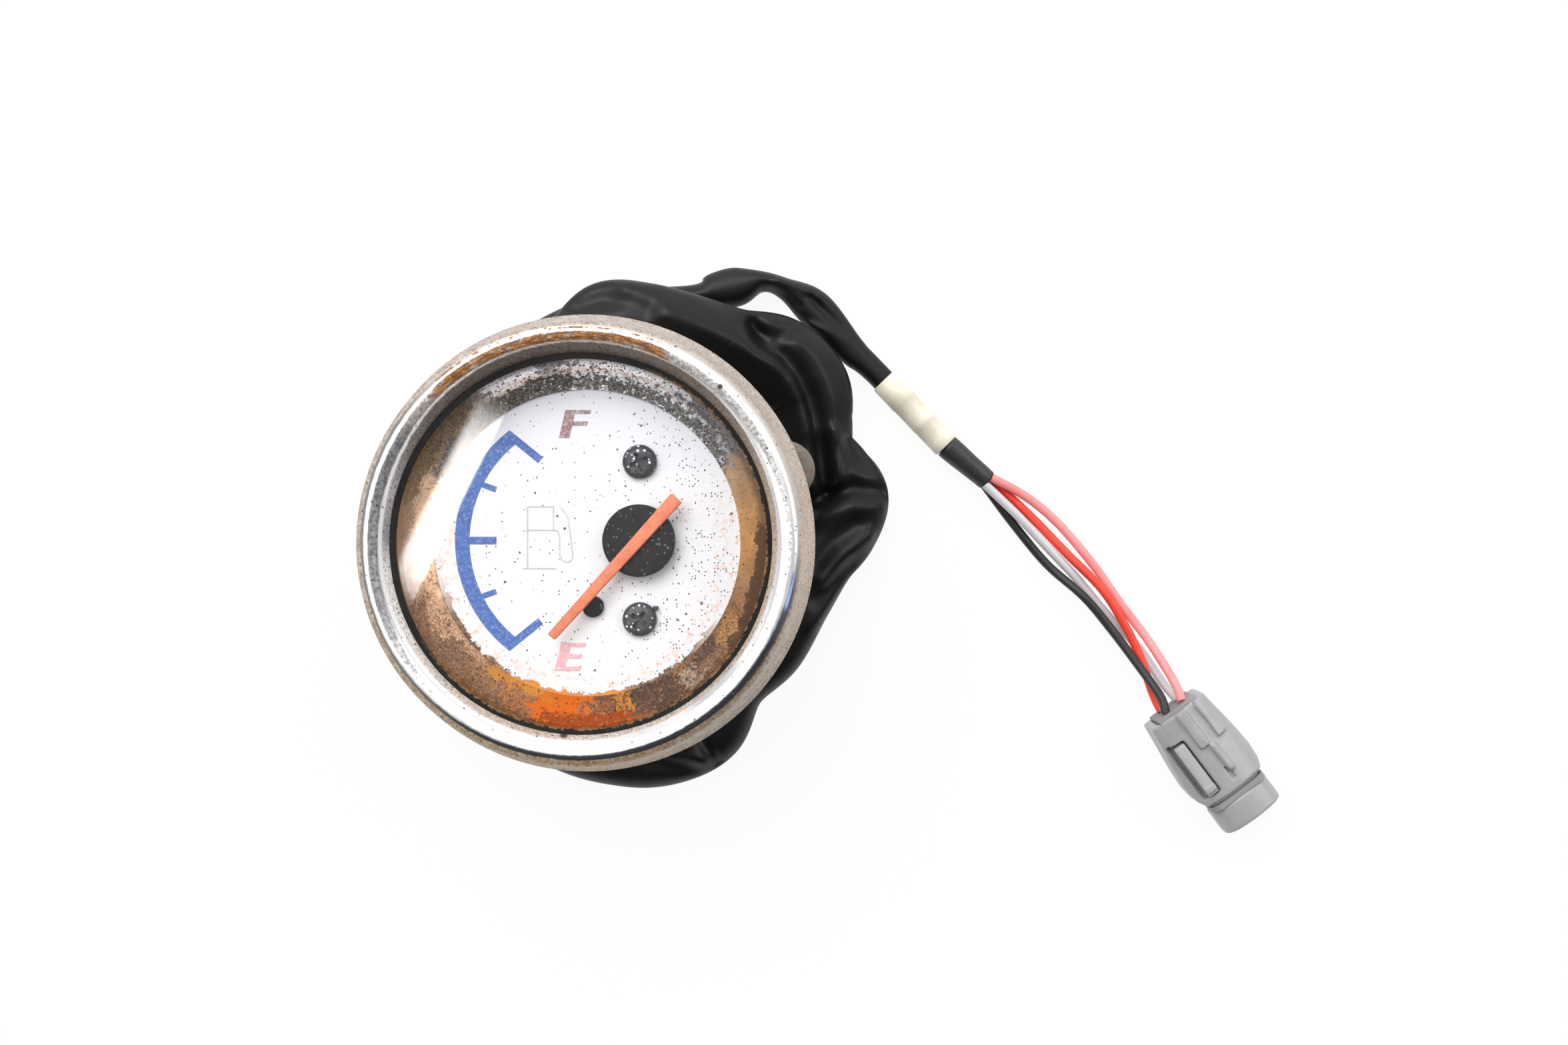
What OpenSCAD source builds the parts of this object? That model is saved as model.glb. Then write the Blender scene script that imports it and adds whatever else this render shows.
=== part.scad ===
// Round fuel gauge with its harness: a pressed bezel and flat glass over a white dial, an air-core
// movement in a steel case, and a four-wire lead in a black vinyl sheath that ends in a sealed plug.
// Millimetres. The gauge stands on its stud tips at z = 0, the glass faces +Z and 12 o'clock is +Y.

/* [Bezel and glass] */
// Outer diameter of the bezel at its rolled rear edge
bezel_d = 76; // [74:0.5:82]
// Thickness of the bezel's pressed sheet
bezel_sheet = 0.8; // [0.6:0.1:1]
// Height of the bezel's crest over the gasket
bezel_rise = 3.1; // [2.6:0.1:3.8]
// How far the rear edge of the bezel stands out past its rounded face
bezel_flare = 2.1; // [1.6:0.1:2.6]
// Width of the rolled lip behind the case flange
crimp_w = 4; // [3:0.1:4.6]
// Radial gap between the glass and the bezel
glass_gap = 0.9; // [0.6:0.1:1.2]
// Thickness of the glass
glass_t = 2; // [1.5:0.1:2.6]
// Thickness of the rubber ring over the glass
gasket_t = 0.7; // [0.5:0.1:1.2]
// Width of the rubber ring over the glass
gasket_w = 5.1; // [4.2:0.1:5.6]
// Width of that rubber ring that shows inside the bezel
gasket_show = 0.75; // [0.6:0.05:1.6]

/* [Reflector ring and dial] */
// Sheet thickness of the reflector ring
cove_sheet = 0.6; // [0.4:0.1:0.8]
// How far the reflector's top edge stands out past the rubber ring
cove_step = 0.6; // [0.2:0.1:1]
// Distance from the case flange up to the glass
glass_lift = 5.2; // [4.4:0.1:6.4]
// Depth of the dial's top face below the case flange
dial_drop = 1.4; // [1:0.1:2]
// Diameter of the dial face inside the reflector ring
dial_show_d = 51.2; // [50:0.1:52]
// Thickness of the dial plate
dial_t = 0.8; // [0.6:0.1:1.2]
// Radial gap between the dial and the case wall
dial_gap = 0.5; // [0.3:0.1:1]
// Thickness of the rubber ring on the case flange
case_gasket_t = 0.6; // [0.4:0.1:1]
// Thickness of the printed marks
print_t = 0.1; // [0.08:0.01:0.14]
// Width of the blue scale band
scale_w = 2.4; // [1.8:0.1:2.8]
// Outer radius of the blue scale band
scale_r = 23.1; // [22:0.1:23.6]
// Height of the letters
letter_h = 4.65; // [4:0.05:5]
// Height of the pump mark
pump_h = 10.3; // [8:0.1:12]
// Line width of the pump mark
pump_line = 0.24; // [0.2:0.02:0.4]

/* [Needle and movement] */
// Distance of the needle's pivot to the right of the gauge's centre
pivot_x = 8.8; // [8:0.2:9.4]
// Distance of the needle's pivot above the gauge's centre
pivot_y = 0.4; // [0:0.1:0.6]
// Length of the needle from pivot to tip
needle_len = 21.3; // [18:0.1:21.6]
// Length of the needle's tail
needle_tail = 9.5; // [7:0.1:11]
// Thickness of the needle
needle_t = 1; // [0.7:0.1:1.2]
// Angle of the resting needle, from +X
needle_rest = 228; // [225:1:229]
// Sweep of the needle between its stops
needle_sweep = 90; // [84:1:94]
// Diameter of the hub cap
hub_d = 12; // [9:0.2:13]
// Height of the hub cap's disc
hub_t = 2; // [1.4:0.1:2.4]
// Running height of the hub cap over the dial
hub_gap = 1.2; // [0.8:0.1:1.6]
// Diameter of the rotor's shaft
shaft_d = 1.5; // [1.2:0.1:1.8]
// Running clearance round the shaft
shaft_fit = 0.03; // [0.02:0.01:0.06]
// Diameter of the rotor magnet
magnet_d = 9; // [7:0.2:9.6]
// Thickness of the rotor magnet
magnet_t = 4; // [3:0.2:4.6]
// Diameter of the bobbin
bobbin_d = 13.2; // [12.6:0.1:13.4]
// Height of the two bobbin halves together
bobbin_h = 11; // [9:0.2:11.6]
// Thickness of each winding
coil_t = 0.8; // [0.5:0.1:0.9]
// Wall of the shield can
can_wall = 0.6; // [0.4:0.1:0.8]
// Distance of the dial screws from the pivot
post_reach = 13.1; // [12.8:0.1:13.6]
// Diameter of the movement frame's posts
post_d = 6; // [5.4:0.1:6.4]
// Diameter of the screw heads on the dial
screw_head_d = 5.7; // [5:0.1:6]
// Height of the screw heads
screw_head_t = 1.8; // [1.2:0.1:2.2]
// Shank diameter of the screws
screw_d = 2.6; // [2:0.1:3]
// Diameter of the peg beside the needle
peg_d = 3.5; // [2.5:0.1:4]

/* [Case and bracket] */
// Distance from the bezel's rear edge in to the case wall
case_inset = 6.5; // [6:0.1:7]
// Thickness of the case wall
case_wall = 1; // [0.8:0.1:1.4]
// Height of the case with its flange
case_h = 31; // [30:0.5:34]
// Radial gap between the case flange and the bezel
flange_gap = 0.6; // [0.3:0.1:1]
// Diameter of the studs
stud_d = 5; // [4:0.5:6]
// Distance of the studs from the gauge's centre
stud_reach = 22; // [21:0.5:22.5]
// Length of the studs below the case
stud_drop = 14; // [13:0.5:15]
// Thickness of the bracket plate
bracket_t = 2; // [1.5:0.1:2]
// Width of the bracket's round plate outside the circle of studs
bracket_rim = 5; // [4:0.25:5.5]
// Distance of the ear holes from the gauge's centre
ear_reach = 35.5; // [34.5:0.1:37]
// Radius of the hole in each ear
ear_hole_r = 2.7; // [2:0.1:3.2]
// Radius of each ear's round end
ear_r = 5.5; // [5:0.1:6]
// Turn of the ears from +X
ear_turn = 21.5; // [14:0.5:22]
// Thickness of the stud nuts
nut_t = 4; // [3:0.2:5]
// Width of the stud nuts across their flats
nut_af = 8; // [7.4:0.2:9]

/* [Lamp] */
// Distance of the lamp from the gauge's centre
lamp_x = 17; // [16:0.5:17]
// Diameter of the lamp's glass
lamp_d = 9.8; // [8:0.2:10]
// Diameter of the lamp socket in the case
socket_d = 11.8; // [11:0.2:12.4]
// Height of the lamp over the case floor
lamp_h = 18; // [16:0.5:20]

/* [Wires and plug] */
// Diameter of each wire
wire_d = 1.7; // [1.2:0.1:1.9]
// Diameter of the sheath where the tape holds it tight
sheath_neck_d = 4.6; // [4:0.1:5.2]
// Thickness of the marker tape
tape_t = 0.35; // [0.2:0.05:0.5]
// Diameter of the end sleeve at its thick end
sleeve_d = 4.8; // [4.2:0.1:5.2]
// Diameter of the end sleeve where the wires leave it
sleeve_end_d = 4.1; // [3.8:0.1:4.6]
// Length of the plug's rear body
plug_body_len = 18; // [16:0.5:20]
// Length of the plug's nose
plug_nose_len = 6.8; // [5:0.2:9]
// Width of the plug's nose
plug_nose_w = 12.4; // [11:0.2:13.4]
// Height of the plug's body
plug_h = 9.6; // [9:0.1:11]
// Spacing of the wires in the plug
plug_pitch = 3.8; // [3.4:0.1:4.2]
// Height of the ribs on the plug
rib_h = 0.8; // [0.4:0.1:1.2]
// Gap round the plug's latch
latch_gap = 0.4; // [0.3:0.05:0.6]
// Travel of the latch at its free end
latch_travel = 0.8; // [0.4:0.1:1]

/* [Hidden] */
$fn = 96;
// Smallest running or laid-in clearance between pieces that a person pushes together
fit = 0.05;
// Overlap that makes a cut run cleanly past a face
past = 1;

// Heights, from the stud tips up
floor_z = stud_drop;
floor_top = floor_z + case_wall;
flange_z = floor_z + case_h;
dial_top = flange_z - dial_drop;
dial_z = dial_top - dial_t;
glass_z = flange_z + glass_lift;
gasket_z = glass_z + glass_t;
lip_z = gasket_z + gasket_t;
crest_z = lip_z + bezel_rise;
crimp_z = flange_z - case_wall - bezel_sheet;
bracket_z = floor_z - bracket_t;
washer_t = 1;
washer_z = bracket_z - washer_t;
nut_z = washer_z - nut_t;

// Radii of the round stack
bezel_r = bezel_d / 2;
face_r = bezel_r - bezel_flare;
glass_r = face_r - glass_gap;
gasket_in_r = glass_r - gasket_w;
lip_r = gasket_in_r + gasket_show;
cove_r = gasket_in_r + cove_step;
dial_show_r = dial_show_d / 2;
flange_r = bezel_r - bezel_sheet - flange_gap;
case_r = bezel_r - case_inset;
case_in_r = case_r - case_wall;
dial_r = case_in_r - dial_gap;
crest_r = 2;
crest_mid_r = face_r - crest_r;
crest_mid_z = crest_z - crest_r;
crest_from = 155;
crest_steps = 10;
cove_steps = 10;

// Movement heights and radii, round the pivot
pivot = [pivot_x, pivot_y, 0];
shaft_r = shaft_d / 2;
bore_r = shaft_r + shaft_fit;
winding_h = 2 * coil_t + 0.2;
plate_t = 2;
plate_z = dial_z - 1.8 - winding_h * 2 - bobbin_h - plate_t;
plate_top = plate_z + plate_t;
bobbin_z = plate_top + winding_h;
bobbin_mid = bobbin_z + bobbin_h / 2;
bobbin_top = bobbin_z + bobbin_h;
bobbin_r = bobbin_d / 2;
foot_r = 1.7;
cavity_gap = 0.4;
magnet_z = bobbin_mid - magnet_t / 2;
coil_w = 2.7;
coil_from = foot_r + 0.2;
coil_reach = bobbin_r + coil_t;
can_in_r = norm([coil_reach, coil_from + coil_w]) + 0.1;
can_r = can_in_r + can_wall;
can_top = bobbin_top + winding_h;
stop_plate_t = 0.4;
stop_z = can_top + stop_plate_t;
bearing_r = 1.4;
stop_arm_t = 0.5;
stop_arm_z = stop_z + 0.3;
stop_reach = 5;
stop_pin_r = 0.5;
stop_arm_w = 1;
stop_clear = 0.3;
// Turn from the arm's middle line to the middle of a stop that it just clears
stop_turn = 2 * asin((stop_pin_r + stop_arm_w / 2 + stop_clear) / stop_reach / 2);
stop_arm_turn = needle_rest + 180;
hub_z = dial_top + hub_gap;
needle_z = hub_z + hub_t;
needle_tail_w = 2.35;
needle_tip_w = 1.55;
hub_boss_r = 2;
screw_r = screw_d / 2;
screw_head_r = screw_head_d / 2;
screw_len = 7;
post_r = post_d / 2;
board_t = 1.6;
board_w = 16;
board_h = 15;
board_z = plate_z - 2 - board_t;
pin_r = 0.4;
resistor_r = 2.2;
resistor_len = 10;

// Studs, lamp and boot
stud_r = stud_d / 2;
stud_turns = [0, 120, 240];
stud_head_t = 1.5;
lamp_pos = [-lamp_x, 0, 0];
lamp_r = lamp_d / 2;
socket_r = socket_d / 2;
socket_lip = 0.9;
socket_lip_t = 1;
socket_drop = 3;
socket_rise = 4;
lamp_top = floor_top + lamp_h;
wedge = [9, 2.2];
boot_turn = 205;
boot_bend = 10;
boot_z = 24;
boot_r = 5.4;
boot_neck_r = 4.6;
boot_reach = 37.4;
boot_out = 9;
boot_lip_t = 1;
boot_lip = 1.2;
lead_bore_r = 2.4;
lead_gap = 0.95;
lead_spread = 1.2;

// Printed marks: places on the dial, from the gauge's centre
scale_mid = [1.1, 0.4];
scale_half = 39;
tick_w = 1.25;
side_tick_w = 0.93;
// Ticks: distances of both ends from the pivot
end_tick = [21.3, 27.4];
side_tick = [25.4, 28.4];
mid_tick = [23.9, 28.9];
letter_f_at = [-4.7, 17.5];
letter_e_at = [-5.45, -21.3];
pump_at = [-9.95, -4.25];
peg_at = [1.05, -10.6];

// Sheath: rows of turn from +X, radius, height, half width across and half height. It leaves the
// boot, goes clockwise once round the case, passes under itself and runs out as the tail.
wound = [
    [191, 37, 24, 5.1, 5.1], [184, 37.2, 23.5, 5.1, 5.1], [173, 37.2, 21.6, 5.2, 5.2],
    [159, 37.2, 19, 5.2, 5.2], [143, 37.2, 17.2, 5.2, 5.2], [127, 37.2, 16.8, 5.2, 5.2],
    [113, 37, 16.8, 5.2, 5.1], [101, 37.2, 16.8, 5, 5], [90, 41, 16.8, 6.4, 5],
    [79, 41.4, 16.4, 6.6, 5], [68, 41.6, 15.2, 7, 5], [57, 42.8, 12.2, 7.4, 4.8],
    [47, 45.8, 9, 8.9, 4.8], [38, 46.7, 6.6, 8.5, 4.8], [30.5, 44, 5.4, 8, 4.8],
    [23, 42.4, 5.2, 7.4, 4.8], [16, 44, 5.2, 7.6, 4.8], [9.8, 45.6, 5.2, 7.8, 4.8],
    [2, 43.4, 5.2, 7, 4.8], [-6, 40, 5.4, 6.2, 5], [-18, 38, 5.6, 5.6, 5.4],
    [-34, 37.6, 5.6, 5.4, 5.4], [-49, 36.6, 5.6, 5.4, 5.4], [-62, 40.6, 5.6, 6.4, 5.4],
    [-74, 41.4, 5.6, 6.5, 5], [-87, 40.4, 5.6, 6.2, 5.2], [-104, 38.8, 5.6, 5.6, 5.4],
    [-134, 38.2, 5.6, 5.4, 5.4], [-164, 38, 5.6, 5.4, 5.4], [-194, 37.8, 5.6, 5.4, 5.4],
    [-224, 38, 5.4, 5.2, 5], [-254, 40.2, 4.6, 4.2, 4.2]
];
// Tail: rows of x, y, height, half width across and half height, up to the marker tape's end
tail = [
    [1, 44.4, 4.2, 3, 4], [16, 46.3, 4, 2.4, 3.8], [19.8, 47.5, 3.9, 3.5, 3.7],
    [24.15, 48.4, 3.8, 3.7, 3.6], [28.6, 49.3, 3.6, 2, 3.5], [32.6, 48.2, 3.4, 2, 3.3],
    [38.5, 44.3, 3.2, 3.6, 3], [45.6, 36.4, 2.8, 2.85, 2.6]
];
tape_from = [50.3, 32.1, 2.8];
tape_to = [63.8, 18.1, 2.8];
sleeve_to = [71.8, 11.4, 2.1];
// Wires: rows of x, y and height, from the end sleeve to the plug
black_route = [
    [71.2, 10.7, 1.2], [77, 3, 0.9], [83.3, -4.6, 1], [90.2, -10.9, 2.8], [95.5, -17.3, 3.2],
    [100.2, -23.8, 4.6], [103.9, -29.4, 6.4]
];
white_route = [
    [71.2, 10.7, 3], [77.6, 4.6, 2.6], [84.2, -2.2, 1.3], [89.3, -7.6, 0.9], [95, -14.4, 0.9],
    [100.9, -20.6, 0.9], [105.4, -27.4, 2.3]
];
red_route = [
    [72.4, 12, 1.15], [80.2, 4.6, 0.9], [86.9, -2.4, 1.5], [93.7, -9.5, 2.9], [98.2, -16.8, 3.1],
    [101, -22.8, 3], [103.3, -29.2, 2.6]
];
pink_route = [
    [72.4, 12, 3.05], [79.4, 8.2, 2], [85.7, 3, 0.9], [92.4, -4.9, 0.9], [97.6, -12.4, 1.2],
    [102.6, -19.4, 2.8], [106.9, -27, 5.2]
];
sheath_sides = 10;
wire_sides = 8;

// Plug: its own frame has x along the plug from the wires, y across it and z up
plug_rear = [106.7, -32];
plug_turn = -53;
plug_base = 0.4;
plug_mid_z = plug_base + plug_h / 2;
plug_len = plug_body_len + plug_nose_len;
plug_bow = [[0, 5.9], [0.22, 6.4], [0.5, 7.1], [0.75, 7.5], [0.92, 7.1], [1, 6.3]];
seal_deep = 3;
seal_out = 0.6;
seal_w = 8.6;
seal_h = 8;
nose_h = 8.4;
nose_round = 2.2;
nose_groove = 0.7;
rib_w = 2;
rib_len = 8;
rib_at = [0, 4.2];
latch_at = -4;
latch_w = 2.2;
latch_from = 5.2;
latch_len = 11;
latch_t = 1.6;
guard_deep = 3.2;
terminal_r = 0.8;
pin_hole_r = 1;

function unit(v) = v / norm(v);
function turned(r, a) = [r * cos(a), r * sin(a)];
function forward(p, i) = unit(p[min(i + 1, len(p) - 1)] - p[max(i - 1, 0)]);
function rightward(t) = unit([t[1], -t[0], 0]);
// Ring of n points round p: half width w across the travel t, half height h over it
function ring_points(p, t, w, h, n) =
    let (s = rightward(t), u = cross(s, t))
    [for (k = [0 : n - 1]) p + s * w * cos(360 * k / n) + u * h * sin(360 * k / n)];
function plug_place(x, y, z) = [
    plug_rear[0] + x * cos(plug_turn) - y * sin(plug_turn),
    plug_rear[1] + x * sin(plug_turn) + y * cos(plug_turn),
    z
];

// One closed tube through the points, with a half width and half height at each
module tube(points, halves, sides) {
    rings = len(points);
    skin = [
        for (i = [0 : rings - 1])
        each ring_points(points[i], forward(points, i), halves[i][0], halves[i][1], sides)
    ];
    walls = [
        for (i = [0 : rings - 2], k = [0 : sides - 1])
        let (a = i * sides + k, b = i * sides + (k + 1) % sides)
        [a, b, b + sides, a + sides]
    ];
    near_end = [for (k = [sides - 1 : -1 : 0]) k];
    far_end = [for (k = [0 : sides - 1]) (rings - 1) * sides + k];
    polyhedron(points = skin, faces = concat([near_end], walls, [far_end]), convexity = 6);
}

// Straight round bar between two points
module bar(from, to, r) {
    way = to - from;
    translate(from)
        rotate([0, acos(way[2] / norm(way)), atan2(way[1], way[0])])
        cylinder(h = norm(way), r = r);
}

// Straight tapered bar between two points
module taper(from, to, r_from, r_to) {
    way = to - from;
    translate(from)
        rotate([0, acos(way[2] / norm(way)), atan2(way[1], way[0])])
        cylinder(h = norm(way), r1 = r_from, r2 = r_to);
}

// Flat washer-shaped ring
module flat_ring(r_in, r_out, h) {
    difference() {
        cylinder(h = h, r = r_out);
        translate([0, 0, -past]) cylinder(h = h + 2 * past, r = r_in);
    }
}

// Flat line of constant width through the points
module ribbon(points, w) {
    last = len(points) - 1;
    side = [
        for (i = [0 : last])
        let (t = unit(points[min(i + 1, last)] - points[max(i - 1, 0)])) [-t[1], t[0]] * w / 2
    ];
    polygon(concat(
        [for (i = [0 : last]) points[i] + side[i]],
        [for (i = [last : -1 : 0]) points[i] - side[i]]
    ));
}

// Upright block with four rounded upright edges, centred across
module rounded_block(len_x, len_y, h, r) {
    linear_extrude(height = h) {
        square([len_x - 2 * r, len_y], center = true);
        square([len_x, len_y - 2 * r], center = true);
        for (x = [-1, 1], y = [-1, 1])
            translate([x * (len_x / 2 - r), y * (len_y / 2 - r)]) circle(r = r);
    }
}

// Cross-recess screw with its head up, its seat at z = 0
module pan_screw(shank) {
    difference() {
        union() {
            cylinder(h = screw_head_t * 0.6, r = screw_head_r);
            translate([0, 0, screw_head_t * 0.6])
                cylinder(h = screw_head_t * 0.4, r1 = screw_head_r, r2 = screw_head_r * 0.72);
            translate([0, 0, -shank]) cylinder(h = shank + fit, r = screw_r);
        }
        for (turn = [0, 90])
            rotate([0, 0, turn])
                translate([-screw_head_r * 0.52, -0.4, screw_head_t * 0.45])
                cube([screw_head_r * 1.04, 0.8, screw_head_t]);
    }
}

module bezel_ring() {
    inner_r = crest_r - bezel_sheet;
    outside = [
        for (i = [0 : crest_steps])
        let (a = crest_from * (1 - i / crest_steps))
        [crest_mid_r + crest_r * cos(a), crest_mid_z + crest_r * sin(a)]
    ];
    inside = [
        for (i = [crest_steps : -1 : 0])
        let (a = crest_from * (1 - i / crest_steps))
        [crest_mid_r + inner_r * cos(a), crest_mid_z + inner_r * sin(a)]
    ];
    rear_z = crimp_z + 1.4;
    color("silver")
        rotate_extrude()
        polygon(concat(
            [[lip_r, lip_z]],
            outside,
            [
                [face_r + bezel_flare * 0.25, (crest_mid_z + rear_z) / 2 + 1.5],
                [face_r + bezel_flare * 0.62, (crest_mid_z + rear_z) / 2 - 2],
                [bezel_r, rear_z], [bezel_r, crimp_z], [bezel_r - crimp_w, crimp_z],
                [bezel_r - crimp_w, crimp_z + bezel_sheet],
                [bezel_r - bezel_sheet, crimp_z + bezel_sheet], [bezel_r - bezel_sheet, rear_z],
                [face_r + bezel_flare * 0.62 - bezel_sheet, (crest_mid_z + rear_z) / 2 - 2],
                [face_r + bezel_flare * 0.25 - bezel_sheet, (crest_mid_z + rear_z) / 2 + 1.5]
            ],
            inside,
            [[lip_r + bezel_sheet, lip_z]]
        ));
}

module lens_gasket() {
    color("dimgray") translate([0, 0, gasket_z]) flat_ring(gasket_in_r, glass_r, gasket_t);
}

module lens_glass() {
    color("lightcyan", 0.35) translate([0, 0, glass_z]) cylinder(h = glass_t, r = glass_r);
}

module reflector_ring() {
    wide = cove_r - dial_show_r;
    deep = glass_z - dial_top;
    foot_z = flange_z + case_gasket_t;
    scoop = [
        for (i = [0 : cove_steps])
        let (a = 90 * i / cove_steps)
        [dial_show_r + wide * cos(a), glass_z - (deep - cove_sheet) * sin(a)]
    ];
    back = [
        for (i = [cove_steps : -1 : 1])
        let (a = 90 * i / cove_steps)
        [dial_show_r + (wide + cove_sheet) * cos(a), glass_z - deep * sin(a)]
    ];
    color("tan")
        rotate_extrude()
        polygon(concat(
            scoop,
            back,
            [
                [cove_r + cove_sheet, glass_z - cove_sheet],
                [glass_r - cove_sheet, glass_z - cove_sheet], [glass_r - cove_sheet, foot_z],
                [glass_r, foot_z], [glass_r, glass_z]
            ]
        ));
}

module case_gasket() {
    color("dimgray")
        translate([0, 0, flange_z])
        flat_ring(case_r, glass_r, case_gasket_t);
}

// Holes that the dial and its screws share
module dial_holes() {
    translate(pivot) {
        cylinder(h = 3 * past + dial_t, r = bearing_r + 0.4);
        for (side = [-1, 1])
            translate([0, side * post_reach, 0]) cylinder(h = 3 * past + dial_t, r = screw_r + fit);
    }
}

module dial_plate() {
    color("white")
        translate([0, 0, dial_z])
        difference() {
            cylinder(h = dial_t, r = dial_r);
            translate([0, 0, -past]) dial_holes();
        }
}

// Rectangle along a line from the pivot, between two distances from it
module tick(turn, ends, w) {
    translate([pivot_x, pivot_y]) rotate(turn) translate([ends[0], -w / 2]) square([ends[1] - ends[0], w]);
}

module dial_scale() {
    far = bezel_d;
    side = tick_w / 2;
    upper = [pivot_x, pivot_y] + turned(side, 90 - scale_half);
    lower = [pivot_x, pivot_y] + turned(side, scale_half - 90);
    color("royalblue")
        translate([0, 0, dial_top])
        linear_extrude(height = print_t)
        union() {
            intersection() {
                translate(scale_mid)
                    difference() {
                        circle(r = scale_r);
                        circle(r = scale_r - scale_w);
                    }
                polygon([
                    upper, upper + turned(far, 180 - scale_half),
                    lower + turned(far, 180 + scale_half), lower
                ]);
            }
            for (turn = [180 - scale_half, 180 + scale_half]) tick(turn, end_tick, tick_w);
            for (turn = [180 - scale_half / 2, 180 + scale_half / 2]) tick(turn, side_tick, side_tick_w);
            tick(180, mid_tick, tick_w);
        }
}

module dial_letters() {
    // Outlines in letter heights, leaning to the right
    shape_f = [
        [0, 0], [0.37, 0], [0.47, 0.44], [1, 0.44], [1.04, 0.59], [0.51, 0.59], [0.57, 0.86],
        [1.12, 0.86], [1.16, 1], [0.24, 1]
    ];
    shape_e = [
        [0, 0], [0.93, 0], [0.97, 0.15], [0.41, 0.15], [0.47, 0.44], [0.96, 0.44], [1, 0.59],
        [0.51, 0.59], [0.57, 0.85], [1.1, 0.85], [1.14, 1], [0.24, 1]
    ];
    color("palevioletred")
        translate([0, 0, dial_top])
        linear_extrude(height = print_t) {
            translate(letter_f_at) polygon(shape_f * letter_h);
            translate(letter_e_at) polygon(shape_e * letter_h);
        }
}

module dial_pump_mark() {
    wide = pump_h * 0.42;
    split = pump_h * 0.62;
    // Hose outline in pump heights, from the tank's side round its loop to the nozzle
    hose = [
        [0.42, 0.62], [0.49, 0.6], [0.52, 0.52], [0.52, 0.22], [0.56, 0.13], [0.64, 0.1],
        [0.71, 0.13], [0.73, 0.2], [0.71, 0.4], [0.68, 0.65], [0.65, 0.84], [0.54, 0.99]
    ];
    color("gainsboro")
        translate([pump_at[0], pump_at[1], dial_top])
        linear_extrude(height = print_t)
        union() {
            ribbon([[0, 0], [0, pump_h], [0.01, pump_h]], pump_line);
            translate([-pump_line / 2, pump_h - pump_line / 2]) square([wide + pump_line, pump_line]);
            translate([wide - pump_line / 2, split]) square([pump_line, pump_h - split]);
            translate([0, split - pump_line / 2]) square([wide, pump_line]);
            translate([-pump_h * 0.07, -pump_line / 2]) square([pump_h * 0.54, pump_line]);
            ribbon(hose * pump_h, pump_line);
        }
}

module dial_screws() {
    color("dimgray")
        translate(pivot)
        for (side = [-1, 1]) translate([0, side * post_reach, dial_top]) pan_screw(screw_len);
}

module dial_peg() {
    color("dimgray")
        translate([peg_at[0], peg_at[1], dial_top]) {
            cylinder(h = 1, r = peg_d / 2);
            translate([0, 0, 1]) cylinder(h = 0.4, r1 = peg_d / 2, r2 = peg_d / 2 - 0.4);
        }
}

module hub_cap() {
    color("dimgray")
        translate(pivot + [0, 0, hub_z])
        difference() {
            union() {
                cylinder(h = hub_t - 0.3, r = hub_d / 2);
                translate([0, 0, hub_t - 0.3]) cylinder(h = 0.3, r1 = hub_d / 2, r2 = hub_d / 2 - 0.3);
                translate([0, 0, -0.8]) cylinder(h = 0.8 + fit, r = hub_boss_r);
            }
            translate([0, 0, -past]) cylinder(h = past + 1.2, r = shaft_r);
        }
}

module needle() {
    color("tomato")
        translate(pivot + [0, 0, needle_z])
        rotate([0, 0, needle_rest])
        linear_extrude(height = needle_t)
        polygon([
            [-needle_tail, -needle_tail_w / 2], [needle_len, -needle_tip_w / 2],
            [needle_len, needle_tip_w / 2], [-needle_tail, needle_tail_w / 2]
        ]);
}

module rotor_shaft() {
    foot_z = plate_top + 0.6;
    color("silver")
        translate(pivot + [0, 0, foot_z])
        cylinder(h = hub_z + 1.2 - foot_z, r = shaft_r);
}

module rotor_magnet() {
    color("darkslategray")
        translate(pivot + [0, 0, magnet_z])
        difference() {
            cylinder(h = magnet_t, r = magnet_d / 2);
            translate([0, 0, -past]) cylinder(h = magnet_t + 2 * past, r = shaft_r);
        }
}

module stop_arm() {
    color("goldenrod")
        translate(pivot + [0, 0, stop_arm_z])
        rotate([0, 0, stop_arm_turn])
        difference() {
            union() {
                cylinder(h = stop_arm_t, r = bearing_r);
                translate([0, -stop_arm_w / 2, 0])
                    cube([stop_reach + stop_pin_r, stop_arm_w, stop_arm_t]);
            }
            translate([0, 0, -past]) cylinder(h = stop_arm_t + 2 * past, r = shaft_r);
        }
}

module stop_plate() {
    color("silver")
        translate(pivot + [0, 0, can_top])
        difference() {
            union() {
                cylinder(h = stop_plate_t, r = can_r);
                for (turn = [stop_arm_turn + stop_turn, stop_arm_turn - needle_sweep - stop_turn])
                    rotate([0, 0, turn])
                        translate([stop_reach, 0, 0])
                        cylinder(h = stop_plate_t + 0.9, r = stop_pin_r);
            }
            translate([0, 0, -past]) cylinder(h = stop_plate_t + 2 * past, r = bearing_r);
        }
}

module upper_bush() {
    color("goldenrod")
        translate(pivot + [0, 0, bobbin_top - 1])
        flat_ring(bore_r, bearing_r, stop_z - bobbin_top + 1);
}

module lower_bearing() {
    color("goldenrod")
        translate(pivot + [0, 0, plate_top])
        difference() {
            cylinder(h = bobbin_z + 1 - plate_top, r = bearing_r);
            translate([0, 0, 0.6 - shaft_fit]) cylinder(h = bobbin_z, r = bore_r);
        }
}

// Half of the bobbin's magnet space
module magnet_space(h) {
    cylinder(h = h, r = magnet_d / 2 + cavity_gap);
}

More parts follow.
